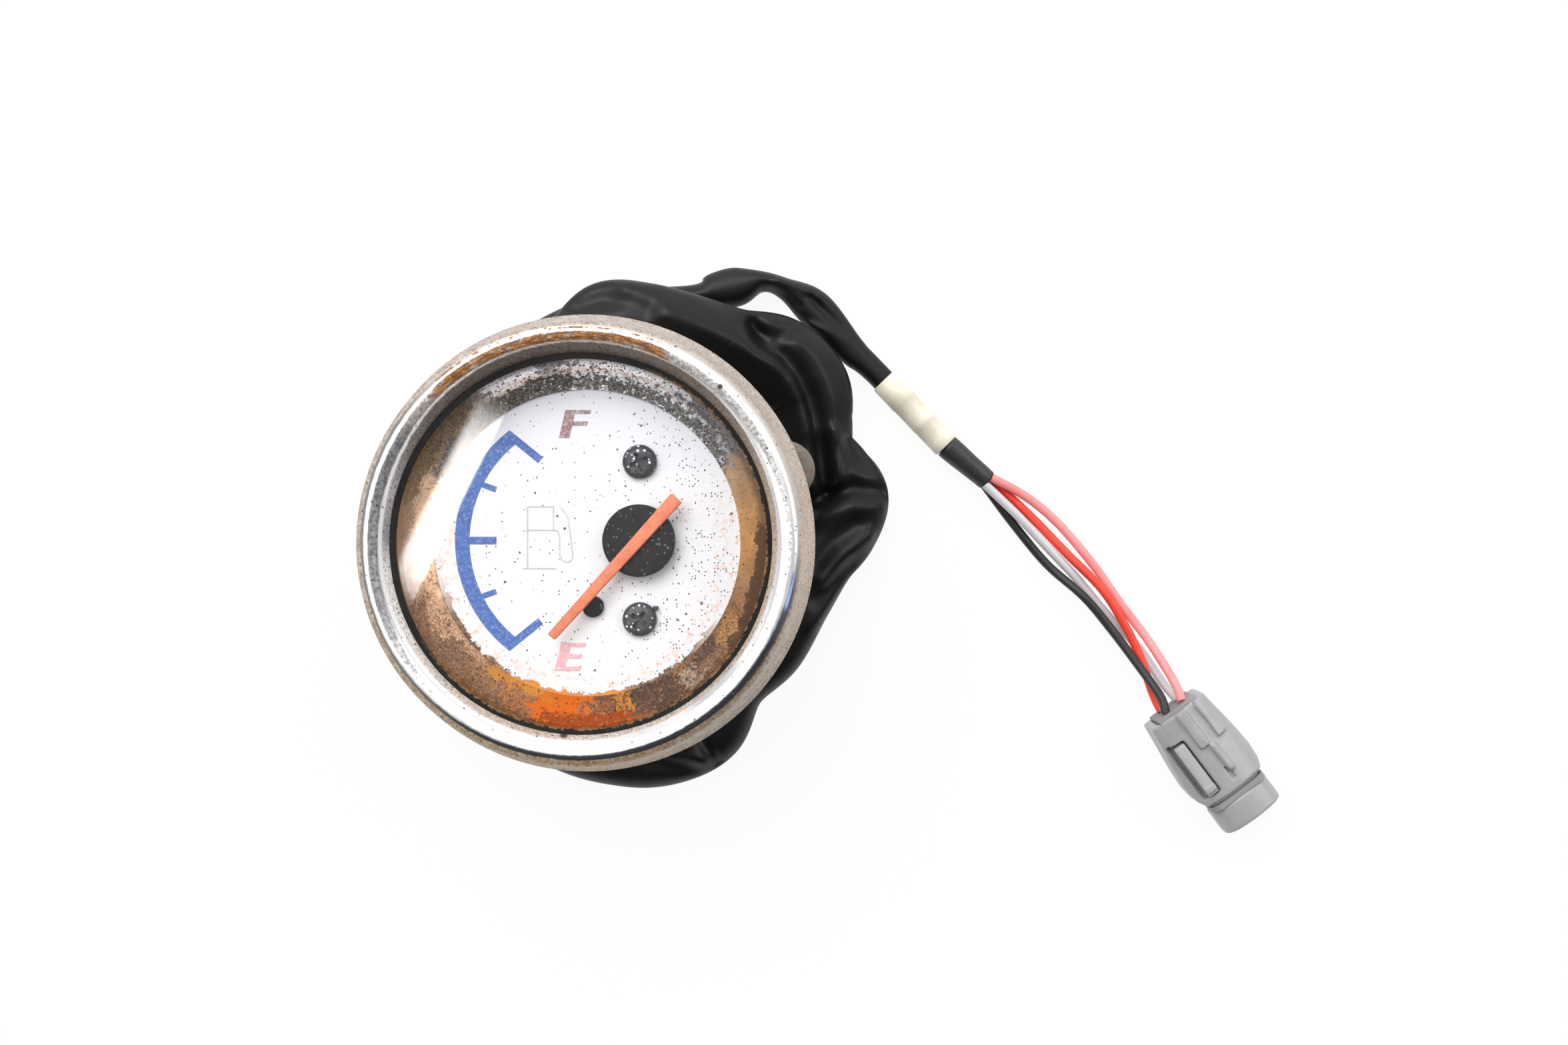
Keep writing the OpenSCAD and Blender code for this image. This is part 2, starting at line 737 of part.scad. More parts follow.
module bobbin_upper() {
    color("ivory")
        translate(pivot)
        difference() {
            union() {
                translate([0, 0, bobbin_mid]) cylinder(h = bobbin_h / 2, r = bobbin_r);
                translate([0, 0, bobbin_top - fit]) cylinder(h = winding_h + fit, r = foot_r);
            }
            translate([0, 0, bobbin_mid - past]) magnet_space(past + magnet_t / 2 + cavity_gap);
            cylinder(h = bobbin_top - 1, r = bore_r + fit);
            translate([0, 0, bobbin_top - 1]) cylinder(h = winding_h + 2, r = bearing_r);
        }
}

module bobbin_lower() {
    color("ivory")
        translate(pivot)
        difference() {
            union() {
                translate([0, 0, bobbin_z]) cylinder(h = bobbin_h / 2, r = bobbin_r);
                translate([0, 0, plate_top]) cylinder(h = winding_h + fit, r = foot_r);
            }
            translate([0, 0, bobbin_mid - magnet_t / 2 - cavity_gap])
                magnet_space(magnet_t / 2 + cavity_gap + past);
            translate([0, 0, bobbin_z]) cylinder(h = bobbin_h, r = bore_r + fit);
            translate([0, 0, plate_top - past]) cylinder(h = winding_h + 1 + past, r = bearing_r);
        }
}

// Two flat loops of wire round the bobbin, one on each side of the shaft
module winding(reach, z_from, z_to) {
    for (side = [-1, 1])
        translate([0, side > 0 ? coil_from : -coil_from - coil_w, 0])
            difference() {
                translate([-reach - coil_t, 0, z_from - coil_t])
                    cube([2 * (reach + coil_t), coil_w, z_to - z_from + 2 * coil_t]);
                translate([-reach, -past, z_from])
                    cube([2 * reach, coil_w + 2 * past, z_to - z_from]);
            }
}

module coil_a() {
    color("peru") translate(pivot) winding(bobbin_r, bobbin_z, bobbin_top);
}

module coil_b() {
    color("peru")
        translate(pivot)
        rotate([0, 0, 90])
        winding(bobbin_r, bobbin_z - coil_t, bobbin_top + coil_t);
}

module shield_can() {
    color("slategray")
        translate(pivot + [0, 0, plate_top])
        flat_ring(can_in_r, can_r, can_top - plate_top);
}

module movement_frame() {
    color("ivory")
        translate(pivot)
        difference() {
            union() {
                translate([0, 0, plate_z]) cylinder(h = plate_t, r = can_r);
                for (side = [-1, 1]) {
                    translate([0, side * post_reach, floor_top])
                        cylinder(h = dial_z - floor_top, r = post_r);
                    translate([-post_r, side > 0 ? 0 : -post_reach, plate_z])
                        cube([post_d, post_reach, plate_t]);
                }
            }
            for (side = [-1, 1])
                translate([0, side * post_reach, 0]) {
                    translate([0, 0, dial_z - screw_len]) cylinder(h = screw_len + past, r = screw_r);
                    cylinder(h = floor_top + screw_len, r = screw_r);
                }
            translate([0, 0, plate_z - past]) board_pin_set(pin_r + fit, plate_t + 2 * past);
            translate([0, 0, plate_top]) cylinder(h = stop_z - plate_top, r = can_r + fit);
        }
}

module board_pin_set(r, h) {
    for (x = [-1, 1], y = [-1, 1]) translate([x * 4.6, y * 4.6, 0]) cylinder(h = h, r = r);
}

module movement_board() {
    color("darkkhaki")
        translate(pivot + [0, 0, board_z])
        difference() {
            rounded_block(board_w, board_h, board_t, 1);
            translate([0, 0, -past]) board_pin_set(pin_r, board_t + 2 * past);
        }
}

module board_pins() {
    foot_z = board_z - 1;
    color("silver")
        translate(pivot + [0, 0, foot_z])
        board_pin_set(pin_r, plate_top - 0.6 - foot_z);
}

module ballast_resistor() {
    color("burlywood")
        translate(pivot + [-resistor_len / 2, 0, board_z - resistor_r])
        rotate([0, 90, 0])
        cylinder(h = resistor_len, r = resistor_r);
}

module movement_screws() {
    color("silver")
        translate(pivot)
        for (side = [-1, 1])
            translate([0, side * post_reach, floor_z]) mirror([0, 0, 1]) pan_screw(screw_len);
}

module lamp_socket() {
    color("dimgray")
        translate(lamp_pos)
        difference() {
            union() {
                translate([0, 0, floor_z - socket_drop])
                    cylinder(h = case_wall + socket_drop + socket_rise, r = socket_r - fit);
                translate([0, 0, floor_z - socket_lip_t])
                    cylinder(h = socket_lip_t, r = socket_r + socket_lip);
                translate([0, 0, floor_top]) cylinder(h = socket_lip_t, r = socket_r + socket_lip);
            }
            translate([-wedge[0] / 2 - fit, -wedge[1] / 2 - 0.5, floor_top - 2])
                cube([wedge[0] + 2 * fit, wedge[1] + 1, socket_rise + 3]);
        }
}

module lamp_bulb() {
    base_z = floor_top - 2;
    color("lightyellow", 0.6)
        translate(lamp_pos) {
            translate([-wedge[0] / 2, -wedge[1] / 2, base_z])
                cube([wedge[0], wedge[1], floor_top + socket_rise - base_z + fit]);
            translate([0, 0, floor_top + socket_rise])
                cylinder(h = lamp_top - lamp_r - floor_top - socket_rise, r = lamp_r);
            translate([0, 0, lamp_top - lamp_r]) sphere(r = lamp_r);
        }
}

module lamp_contacts() {
    color("goldenrod")
        translate(lamp_pos)
        for (side = [-1, 1])
            translate([side * 2.6 - 1, side > 0 ? wedge[1] / 2 : -wedge[1] / 2 - 0.4, floor_top - 2])
                cube([2, 0.4, socket_rise + 1]);
}

module case_can() {
    color("gray")
        difference() {
            union() {
                translate([0, 0, floor_z]) cylinder(h = case_h, r = case_r);
                translate([0, 0, flange_z - case_wall]) cylinder(h = case_wall, r = flange_r);
            }
            translate([0, 0, floor_top]) cylinder(h = case_h, r = case_in_r);
            for (turn = stud_turns)
                rotate([0, 0, turn])
                    translate([stud_reach, 0, floor_z - past])
                    cylinder(h = 3 * past + case_wall, r = stud_r + fit);
            for (side = [-1, 1])
                translate([pivot_x, pivot_y + side * post_reach, floor_z - past])
                    cylinder(h = 3 * past + case_wall, r = screw_r + fit);
            translate(lamp_pos + [0, 0, floor_z - past]) cylinder(h = 3 * past + case_wall, r = socket_r);
            rotate([0, 0, boot_turn])
                translate([case_in_r - 2, 0, boot_z])
                rotate([0, 90, 0])
                cylinder(h = case_wall + 4, r = boot_neck_r);
        }
}

module case_studs() {
    color("silver")
        for (turn = stud_turns)
            rotate([0, 0, turn])
                translate([stud_reach, 0, 0]) {
                    cylinder(h = floor_top + stud_head_t, r = stud_r);
                    translate([0, 0, floor_top]) cylinder(h = stud_head_t, r = stud_r + 1.5);
                }
}

module mounting_bracket() {
    color("gray")
        translate([0, 0, bracket_z])
        difference() {
            union() {
                cylinder(h = bracket_t, r = stud_reach + bracket_rim);
                for (turn = [ear_turn, ear_turn + 180])
                    rotate([0, 0, turn]) {
                        translate([0, -ear_r, 0]) cube([ear_reach, 2 * ear_r, bracket_t]);
                        translate([ear_reach, 0, 0]) cylinder(h = bracket_t, r = ear_r);
                    }
            }
            for (turn = [ear_turn, ear_turn + 180])
                rotate([0, 0, turn])
                    translate([ear_reach, 0, -past])
                    cylinder(h = bracket_t + 2 * past, r = ear_hole_r);
            for (turn = stud_turns)
                rotate([0, 0, turn])
                    translate([stud_reach, 0, -past])
                    cylinder(h = bracket_t + 2 * past, r = stud_r + 0.25);
            for (side = [-1, 1])
                translate([pivot_x, pivot_y + side * post_reach, -past])
                    cylinder(h = bracket_t + 2 * past, r = screw_head_r + 0.5);
            translate(lamp_pos + [0, 0, -past])
                cylinder(h = bracket_t + 2 * past, r = socket_r + socket_lip + 0.3);
        }
}

module stud_washers() {
    color("silver")
        for (turn = stud_turns)
            rotate([0, 0, turn])
                translate([stud_reach, 0, washer_z])
                flat_ring(stud_r + fit, nut_af / 2 + 0.8, washer_t);
}

module stud_nuts() {
    color("silver")
        for (turn = stud_turns)
            rotate([0, 0, turn])
                translate([stud_reach, 0, nut_z])
                difference() {
                    cylinder(h = nut_t, r = nut_af / 2 / cos(30), $fn = 6);
                    translate([0, 0, -past]) cylinder(h = nut_t + 2 * past, r = stud_r + fit);
                }
}

// Point on the boot's axis through the case wall, at a distance from the gauge's centre
function boot_point(r) = concat(turned(r, boot_turn), boot_z);

module wire_boot() {
    middle = boot_point(boot_reach);
    way = boot_turn - 90 - boot_bend;
    outlet = middle + boot_out * concat(turned(1, way), 0);
    inlet = boot_point(case_in_r - boot_lip_t);
    color("dimgray")
        difference() {
            union() {
                bar(inlet, middle, boot_neck_r - fit);
                intersection() {
                    bar(inlet, boot_point(case_in_r), boot_neck_r + boot_lip);
                    cylinder(h = dial_z, r = case_in_r);
                }
                difference() {
                    bar(boot_point(case_in_r), middle, boot_neck_r + boot_lip / 2);
                    cylinder(h = dial_z, r = case_r);
                }
                translate(middle) sphere(r = boot_r);
                taper(middle, outlet, boot_r, boot_r - 0.3);
            }
            bar(boot_point(case_in_r - 2 * boot_lip_t), boot_point(case_r + past), lead_bore_r);
        }
}

module inner_leads() {
    // Two leads run straight from the boot to the movement board and two to the lamp socket
    gate = boot_point(case_in_r - boot_lip_t - fit);
    side = lead_gap * concat(turned(1, boot_turn + 90), 0);
    up = [0, 0, lead_gap];
    board_end = [pivot_x - board_w / 2 - wire_d / 4, pivot_y - 4.4, board_z + board_t / 2];
    to_lamp = unit([gate[0], gate[1], 0] - lamp_pos);
    lamp_top_end = [0, 0, floor_top + 2.9] + lamp_pos + to_lamp * (socket_r + wire_d / 4);
    lamp_side = lead_spread * [-to_lamp[1], to_lamp[0], 0];
    color("firebrick")
        for (i = [-1, 1]) bar(gate + up - i * side, board_end + [0, lead_spread * i, 0], wire_d / 2);
    color("black")
        for (i = [-1, 1]) bar(gate - up + i * side, lamp_top_end + i * lamp_side, wire_d / 2);
}

module harness_sheath() {
    around = [for (row = wound) concat(turned(row[1], row[0]), row[2])];
    out = [for (row = tail) [row[0], row[1], row[2]]];
    neck = sheath_neck_d / 2;
    points = concat(around, out, [tape_from, tape_to]);
    halves = concat(
        [for (row = wound) [row[3], row[4]]],
        [for (row = tail) [row[3], row[4]]],
        [[neck, neck], [neck, neck]]
    );
    color("black") tube(points, halves, sheath_sides);
}

module marker_tape() {
    neck = sheath_neck_d / 2;
    start = tape_from + unit(tape_to - tape_from) * neck;
    color("ivory")
        difference() {
            bar(start, tape_to, neck + fit + tape_t);
            bar(start - (tape_to - start), tape_to + (tape_to - start), neck + fit);
        }
}

module end_sleeve() {
    start = tape_to + unit(tape_to - tape_from) * fit;
    color("black") taper(start, sleeve_to, sleeve_d / 2, sleeve_end_d / 2);
}

// One wire, from its place in the end sleeve to its place in the plug's seal
module wire(route, across, up) {
    gate = plug_place(-seal_out - fit, across * plug_pitch / 2, plug_mid_z + up * plug_pitch / 2);
    points = concat(route, [gate]);
    tube(points, [for (p = points) [wire_d / 2, wire_d / 2]], wire_sides);
}

module wire_black() {
    color("black") wire(black_route, -1, 1);
}

module wire_white() {
    color("white") wire(white_route, 1, -1);
}

module wire_red() {
    color("red") wire(red_route, -1, -1);
}

module wire_pink() {
    color("lightcoral") wire(pink_route, 1, 1);
}

module at_plug() {
    translate([plug_rear[0], plug_rear[1], 0]) rotate([0, 0, plug_turn]) children();
}

// Block along the plug with its long edges rounded, from x = 0
module plug_bar(length, w, h, r) {
    translate([0, 0, plug_mid_z]) rotate([0, 90, 0]) rounded_block(h, w, length, r);
}

module connector_housing() {
    bow = [for (p = plug_bow) [p[0] * plug_body_len, p[1]]];
    mirrored = [for (i = [len(bow) - 1 : -1 : 0]) [bow[i][0], -bow[i][1]]];
    top_z = plug_base + plug_h;
    color("lightgray")
        at_plug()
        difference() {
            union() {
                intersection() {
                    translate([0, 0, plug_base])
                        linear_extrude(height = plug_h)
                        polygon(concat(bow, mirrored));
                    plug_bar(plug_body_len, 15.2, plug_h, 2.4);
                }
                translate([plug_body_len - past, 0, 0])
                    plug_bar(plug_nose_len + past, plug_nose_w, nose_h, nose_round);
                for (y = rib_at)
                    translate([0, y - rib_w / 2, top_z - past]) cube([rib_len, rib_w, rib_h + past]);
            }
            translate([-past, -seal_w / 2, plug_mid_z - seal_h / 2])
                cube([seal_deep + past, seal_w, seal_h]);
            translate([latch_from - latch_gap, latch_at - latch_w / 2 - latch_gap, top_z - guard_deep])
                cube([latch_len + 2 * latch_gap, latch_w + 2 * latch_gap, guard_deep + past]);
            translate([plug_body_len * 0.5, rib_at[0] + 0.5, top_z - 0.8])
                cube([plug_body_len * 0.4, 0.8, 0.8 + past]);
            translate([plug_body_len + 0.6, 0, 0])
                difference() {
                    plug_bar(1.2, plug_nose_w + 2, nose_h + 2, nose_round);
                    translate([-past, 0, 0])
                        plug_bar(1.2 + 2 * past, plug_nose_w - 2 * nose_groove,
                                 nose_h - 2 * nose_groove, nose_round - nose_groove);
                }
            cavity_set(pin_hole_r, seal_deep - past, plug_len + past);
        }
}

// Round bars at the four wire places, between two distances along the plug
module cavity_set(r, from, to) {
    for (y = [-1, 1], z = [-1, 1])
        translate([from, y * plug_pitch / 2, plug_mid_z + z * plug_pitch / 2])
            rotate([0, 90, 0])
            cylinder(h = to - from, r = r);
}

module connector_latch() {
    top_z = plug_base + plug_h;
    color("lightgray")
        at_plug()
        translate([latch_from, latch_at - latch_w / 2, top_z - latch_t + 0.2])
        union() {
            cube([latch_len, latch_w, latch_t]);
            translate([latch_len - 2, 0, latch_t - fit]) cube([1.4, latch_w, 0.5]);
        }
}

module wire_seal() {
    color("lightsteelblue")
        at_plug()
        difference() {
            translate([-seal_out, -seal_w / 2 + fit, plug_mid_z - seal_h / 2 + fit])
                cube([seal_deep + seal_out - fit, seal_w - 2 * fit, seal_h - 2 * fit]);
            cavity_set(terminal_r, past / 2, seal_deep + past);
        }
}

module connector_terminals() {
    color("silver") at_plug() cavity_set(terminal_r - fit, past / 2 + fit, plug_len - 1.5);
}

module nose_seal() {
    color("chocolate")
        at_plug()
        translate([plug_body_len + 0.7, 0, 0])
        difference() {
            plug_bar(1, plug_nose_w - 0.4, nose_h - 0.4, nose_round - 0.2);
            translate([-past, 0, 0])
                plug_bar(1 + 2 * past, plug_nose_w - 2 * nose_groove + 0.1,
                         nose_h - 2 * nose_groove + 0.1, nose_round - nose_groove + 0.05);
        }
}

bezel_ring();
lens_gasket();
lens_glass();
reflector_ring();
case_gasket();
dial_plate();
dial_scale();
dial_letters();
dial_pump_mark();
dial_screws();
dial_peg();
hub_cap();
needle();
rotor_shaft();
rotor_magnet();
stop_arm();
stop_plate();
upper_bush();
lower_bearing();
bobbin_upper();
bobbin_lower();
coil_a();
coil_b();
shield_can();
movement_frame();
movement_board();
board_pins();
ballast_resistor();
movement_screws();
lamp_socket();
lamp_bulb();
lamp_contacts();
case_can();
case_studs();
mounting_bracket();
stud_washers();
stud_nuts();
wire_boot();
inner_leads();
harness_sheath();
marker_tape();
end_sleeve();
wire_black();
wire_white();
wire_red();
wire_pink();
connector_housing();
connector_latch();
wire_seal();
connector_terminals();
nose_seal();
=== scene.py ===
"""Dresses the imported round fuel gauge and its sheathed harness, and sets the studio around it."""

import logging
import math
from dataclasses import dataclass, field
from enum import Enum
from functools import partialmethod
from typing import Callable, Sequence

import bmesh
import bpy
from mathutils import Matrix, Vector, noise


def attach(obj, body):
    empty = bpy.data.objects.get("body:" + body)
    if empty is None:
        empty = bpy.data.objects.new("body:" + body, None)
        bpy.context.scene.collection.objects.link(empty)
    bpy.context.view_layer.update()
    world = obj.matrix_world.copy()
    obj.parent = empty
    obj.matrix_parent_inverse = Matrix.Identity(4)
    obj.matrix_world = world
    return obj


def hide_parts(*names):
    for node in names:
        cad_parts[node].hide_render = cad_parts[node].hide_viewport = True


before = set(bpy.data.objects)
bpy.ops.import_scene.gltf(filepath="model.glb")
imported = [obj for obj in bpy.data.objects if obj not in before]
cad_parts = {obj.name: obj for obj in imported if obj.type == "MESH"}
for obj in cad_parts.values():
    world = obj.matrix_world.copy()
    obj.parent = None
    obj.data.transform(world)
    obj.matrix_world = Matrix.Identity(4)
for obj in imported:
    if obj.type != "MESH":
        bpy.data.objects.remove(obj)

MM = 0.001
MM_PER_M = 1000.0
Row = Sequence[float]
Color = tuple[float, float, float]
Socket = bpy.types.NodeSocket
Value = Socket | float | Color
Stops = Sequence[tuple[float, Color]]

log = logging.getLogger("gauge")


class Body(Enum):
    """The CAD bodies that pieces ride on."""

    GAUGE = "gauge"
    ROTOR = "needle_rotor"
    LATCH = "latch"


# Modelling by hand


class Bench:
    """Modelling steps in edit mode, with sizes in millimetres."""

    @staticmethod
    def clear() -> None:
        """Leaves edit mode and deselects everything."""
        if bpy.context.object and bpy.context.object.mode != "OBJECT":
            bpy.ops.object.mode_set(mode="OBJECT")
        bpy.ops.object.select_all(action="DESELECT")

    @classmethod
    def pick(cls, obj: bpy.types.Object) -> None:
        """Makes one object the only selected and active one."""
        cls.clear()
        obj.select_set(True)
        bpy.context.view_layer.objects.active = obj

    @classmethod
    def chain(cls, name: str, points: Sequence[Row], closed: bool) -> bpy.types.Object:
        """Draws a line of edges by extruding one vertex from point to point.

        Args:
            name: The new object's name.
            points: The corners, in millimetres.
            closed: Whether a last edge runs back to the first corner.

        Returns:
            The new object, in edit mode with its last vertex selected.
        """
        cls.clear()
        here = Vector(points[0]) * MM
        bpy.ops.mesh.primitive_plane_add(size=MM, location=here)
        obj = bpy.context.object
        obj.name = name
        bpy.ops.object.mode_set(mode="EDIT")
        bpy.ops.mesh.select_all(action="SELECT")
        bpy.ops.mesh.merge(type="CENTER")
        for point in list(points[1:]) + ([points[0]] if closed else []):
            there = Vector(point) * MM
            bpy.ops.mesh.extrude_vertices_move(TRANSFORM_OT_translate={"value": there - here})
            here = there
        return obj

    @classmethod
    def turned(
        cls, name: str, profile: Sequence[Row], steps: int = 128, centre: Row = (0.0, 0.0),
        closed: bool = True,
    ) -> bpy.types.Object:
        """Spins a profile about an upright axis.

        Args:
            name: The new object's name.
            profile: Rows of radius and height, in millimetres.
            steps: How many segments go round.
            centre: Where the axis stands, in millimetres.
            closed: Whether the profile is a closed loop, and not a line from pole to pole.

        Returns:
            The new object, in object mode.
        """
        cx, cy = centre
        obj = cls.chain(name, [(cx + r, cy, z) for r, z in profile], closed)
        bpy.ops.mesh.select_all(action="SELECT")
        bpy.ops.mesh.spin(steps=steps, angle=math.tau, center=(cx * MM, cy * MM, 0.0), axis=(0.0, 0.0, 1.0))
        bpy.ops.mesh.select_all(action="SELECT")
        bpy.ops.mesh.remove_doubles(threshold=2e-6)
        bpy.ops.mesh.normals_make_consistent(inside=False)
        cls.settle(obj)
        return obj

    @classmethod
    def slab(cls, name: str, outline: Sequence[Row], low: float, high: float) -> bpy.types.Object:
        """Extrudes a flat outline upwards.

        Args:
            name: The new object's name.
            outline: The corners as rows of x and y, in millimetres.
            low: Height of the underside.
            high: Height of the top.

        Returns:
            The new object, in object mode.
        """
        obj = cls.chain(name, [(x, y, low) for x, y in outline], False)
        bpy.ops.mesh.select_all(action="SELECT")
        bpy.ops.mesh.edge_face_add()
        bpy.ops.mesh.extrude_region_move(TRANSFORM_OT_translate={"value": (0.0, 0.0, (high - low) * MM)})
        bpy.ops.mesh.select_all(action="SELECT")
        bpy.ops.mesh.normals_make_consistent(inside=False)
        cls.settle(obj)
        return obj

    @classmethod
    def block(cls, name: str, low: Row, high: Row, round_by: float = 0.2) -> bpy.types.Object:
        """Adds a box between two corners and rounds its edges.

        Args:
            name: The new object's name.
            low: Lowest corner, in millimetres.
            high: Highest corner, in millimetres.
            round_by: Radius of the edges.

        Returns:
            The new object, in object mode.
        """
        cls.clear()
        size = Vector(high) - Vector(low)
        middle = (Vector(high) + Vector(low)) / 2
        bpy.ops.mesh.primitive_cube_add(size=MM, location=middle * MM, scale=size)
        obj = bpy.context.object
        obj.name = name
        cls.settle(obj)
        cls.modify(obj, "BEVEL", width=round_by * MM, segments=3)
        return obj

    @classmethod
    def settle(cls, obj: bpy.types.Object) -> None:
        """Puts an object's place into its mesh, so that the object stands at the origin."""
        cls.pick(obj)
        bpy.ops.object.transform_apply(location=True, rotation=True, scale=True)

    @classmethod
    def modify(cls, obj: bpy.types.Object, kind: str, **settings: object) -> None:
        """Adds one modifier and applies it."""
        cls.pick(obj)
        modifier = obj.modifiers.new(kind.title(), kind)
        for key, value in settings.items():
            setattr(modifier, key, value)
        bpy.ops.object.modifier_apply(modifier=modifier.name)

    @classmethod
    def cut(cls, obj: bpy.types.Object, *cutters: bpy.types.Object) -> None:
        """Cuts other solids out of an object and removes them."""
        for cutter in cutters:
            cls.modify(obj, "BOOLEAN", operation="DIFFERENCE", solver="EXACT", object=cutter)
            bpy.data.objects.remove(cutter)

    @classmethod
    def join(cls, objects: Sequence[bpy.types.Object]) -> bpy.types.Object:
        """Joins objects into the first one."""
        cls.pick(objects[0])
        for obj in objects[1:]:
            obj.select_set(True)
        bpy.ops.object.join()
        return objects[0]

    @classmethod
    def put(cls, obj: bpy.types.Object, place: Matrix) -> None:
        """Moves an object and puts its place into its mesh."""
        obj.matrix_world = place
        cls.settle(obj)

    @classmethod
    def smooth(cls, obj: bpy.types.Object, angle: float = 35.0) -> None:
        """Shades an object smooth except over edges sharper than an angle in degrees."""
        cls.pick(obj)
        bpy.ops.object.shade_smooth_by_angle(angle=math.radians(angle))

    @classmethod
    def softened(cls, node: str, width: float, segments: int = 2) -> bpy.types.Object:
        """Copies a CAD node's mesh, merges its loose triangles and rounds its sharp edges.

        Args:
            node: The CAD node's name.
            width: Radius of the edges, in millimetres.
            segments: Steps in each rounded edge.

        Returns:
            The new object, in object mode.
        """
        cls.clear()
        obj = bpy.data.objects.new(node + "_dressed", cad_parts[node].data.copy())
        bpy.context.scene.collection.objects.link(obj)
        obj.data.materials.clear()
        cls.pick(obj)
        bpy.ops.object.mode_set(mode="EDIT")
        bpy.ops.mesh.select_all(action="SELECT")
        bpy.ops.mesh.remove_doubles(threshold=2e-6)
        bpy.ops.mesh.dissolve_limited(angle_limit=math.radians(0.3))
        bpy.ops.object.mode_set(mode="OBJECT")
        cls.modify(
            obj, "BEVEL", width=width * MM, segments=segments, limit_method="ANGLE",
            angle_limit=math.radians(40), use_clamp_overlap=True, harden_normals=False,
        )
        return obj


def smooth_rows(rows: Sequence[Row], per: int) -> list[list[float]]:
    """Runs a smooth curve through rows of numbers.

    Args:
        rows: The rows to pass through.
        per: Steps between two rows.

    Returns:
        The denser rows.
    """
    dense = []
    for i in range(len(rows) - 1):
        p0, p1 = rows[max(i - 1, 0)], rows[i]
        p2, p3 = rows[i + 1], rows[min(i + 2, len(rows) - 1)]
        for k in range(per):
            t = k / per
            dense.append([
                0.5 * (2 * b + (c - a) * t + (2 * a - 5 * b + 4 * c - d) * t * t
                       + (3 * b - a - 3 * c + d) * t**3)
                for a, b, c, d in zip(p0, p1, p2, p3)
            ])
    dense.append(list(rows[-1]))
    return dense


def fade(low: float, high: float, value: float) -> float:
    """Smooth step from 0 at low to 1 at high."""
    t = min(max((value - low) / (high - low), 0.0), 1.0)
    return t * t * (3 - 2 * t)


Shaper = Callable[[float, float, float, float], tuple[float, float]]


def swept(name: str, rows: Sequence[Row], sides: int, shaper: Shaper | None = None) -> bpy.types.Object:
    """Makes one closed tube along a route.

    Args:
        name: The new object's name.
        rows: Rows of x, y, z, half width across and half height, in millimetres.
        sides: How many sides go round.
        shaper: Given the length so far, the angle round, the half width and the half height, returns the
            ring's offset across and up, in millimetres. A plain ellipse if left out.

    Returns:
        The new object, smooth shaded.
    """
    mesh = bmesh.new()
    points = [Vector(row[:3]) for row in rows]
    rings = []
    travelled = 0.0
    for i, (point, row) in enumerate(zip(points, rows)):
        if i:
            travelled += (point - points[i - 1]).length
        travel = (points[min(i + 1, len(points) - 1)] - points[max(i - 1, 0)]).normalized()
        across = Vector((travel.y, -travel.x, 0)).normalized()
        up = across.cross(travel)
        ring = []
        for k in range(sides):
            turn = math.tau * k / sides
            if shaper:
                x, y = shaper(travelled, turn, row[3], row[4])
            else:
                x, y = row[3] * math.cos(turn), row[4] * math.sin(turn)
            spot = point + across * x + up * y
            spot.z = max(spot.z, 0.02)
            ring.append(mesh.verts.new(spot * MM))
        rings.append(ring)
    for a, b in zip(rings, rings[1:]):
        for k in range(sides):
            n = (k + 1) % sides
            mesh.faces.new((a[k], a[n], b[n], b[k]))
    mesh.faces.new(reversed(rings[0]))
    mesh.faces.new(rings[-1])
    bmesh.ops.recalc_face_normals(mesh, faces=mesh.faces)
    data = bpy.data.meshes.new(name)
    mesh.to_mesh(data)
    mesh.free()
    obj = bpy.data.objects.new(name, data)
    bpy.context.scene.collection.objects.link(obj)
    Bench.smooth(obj, 60.0)
    return obj


# Node nets


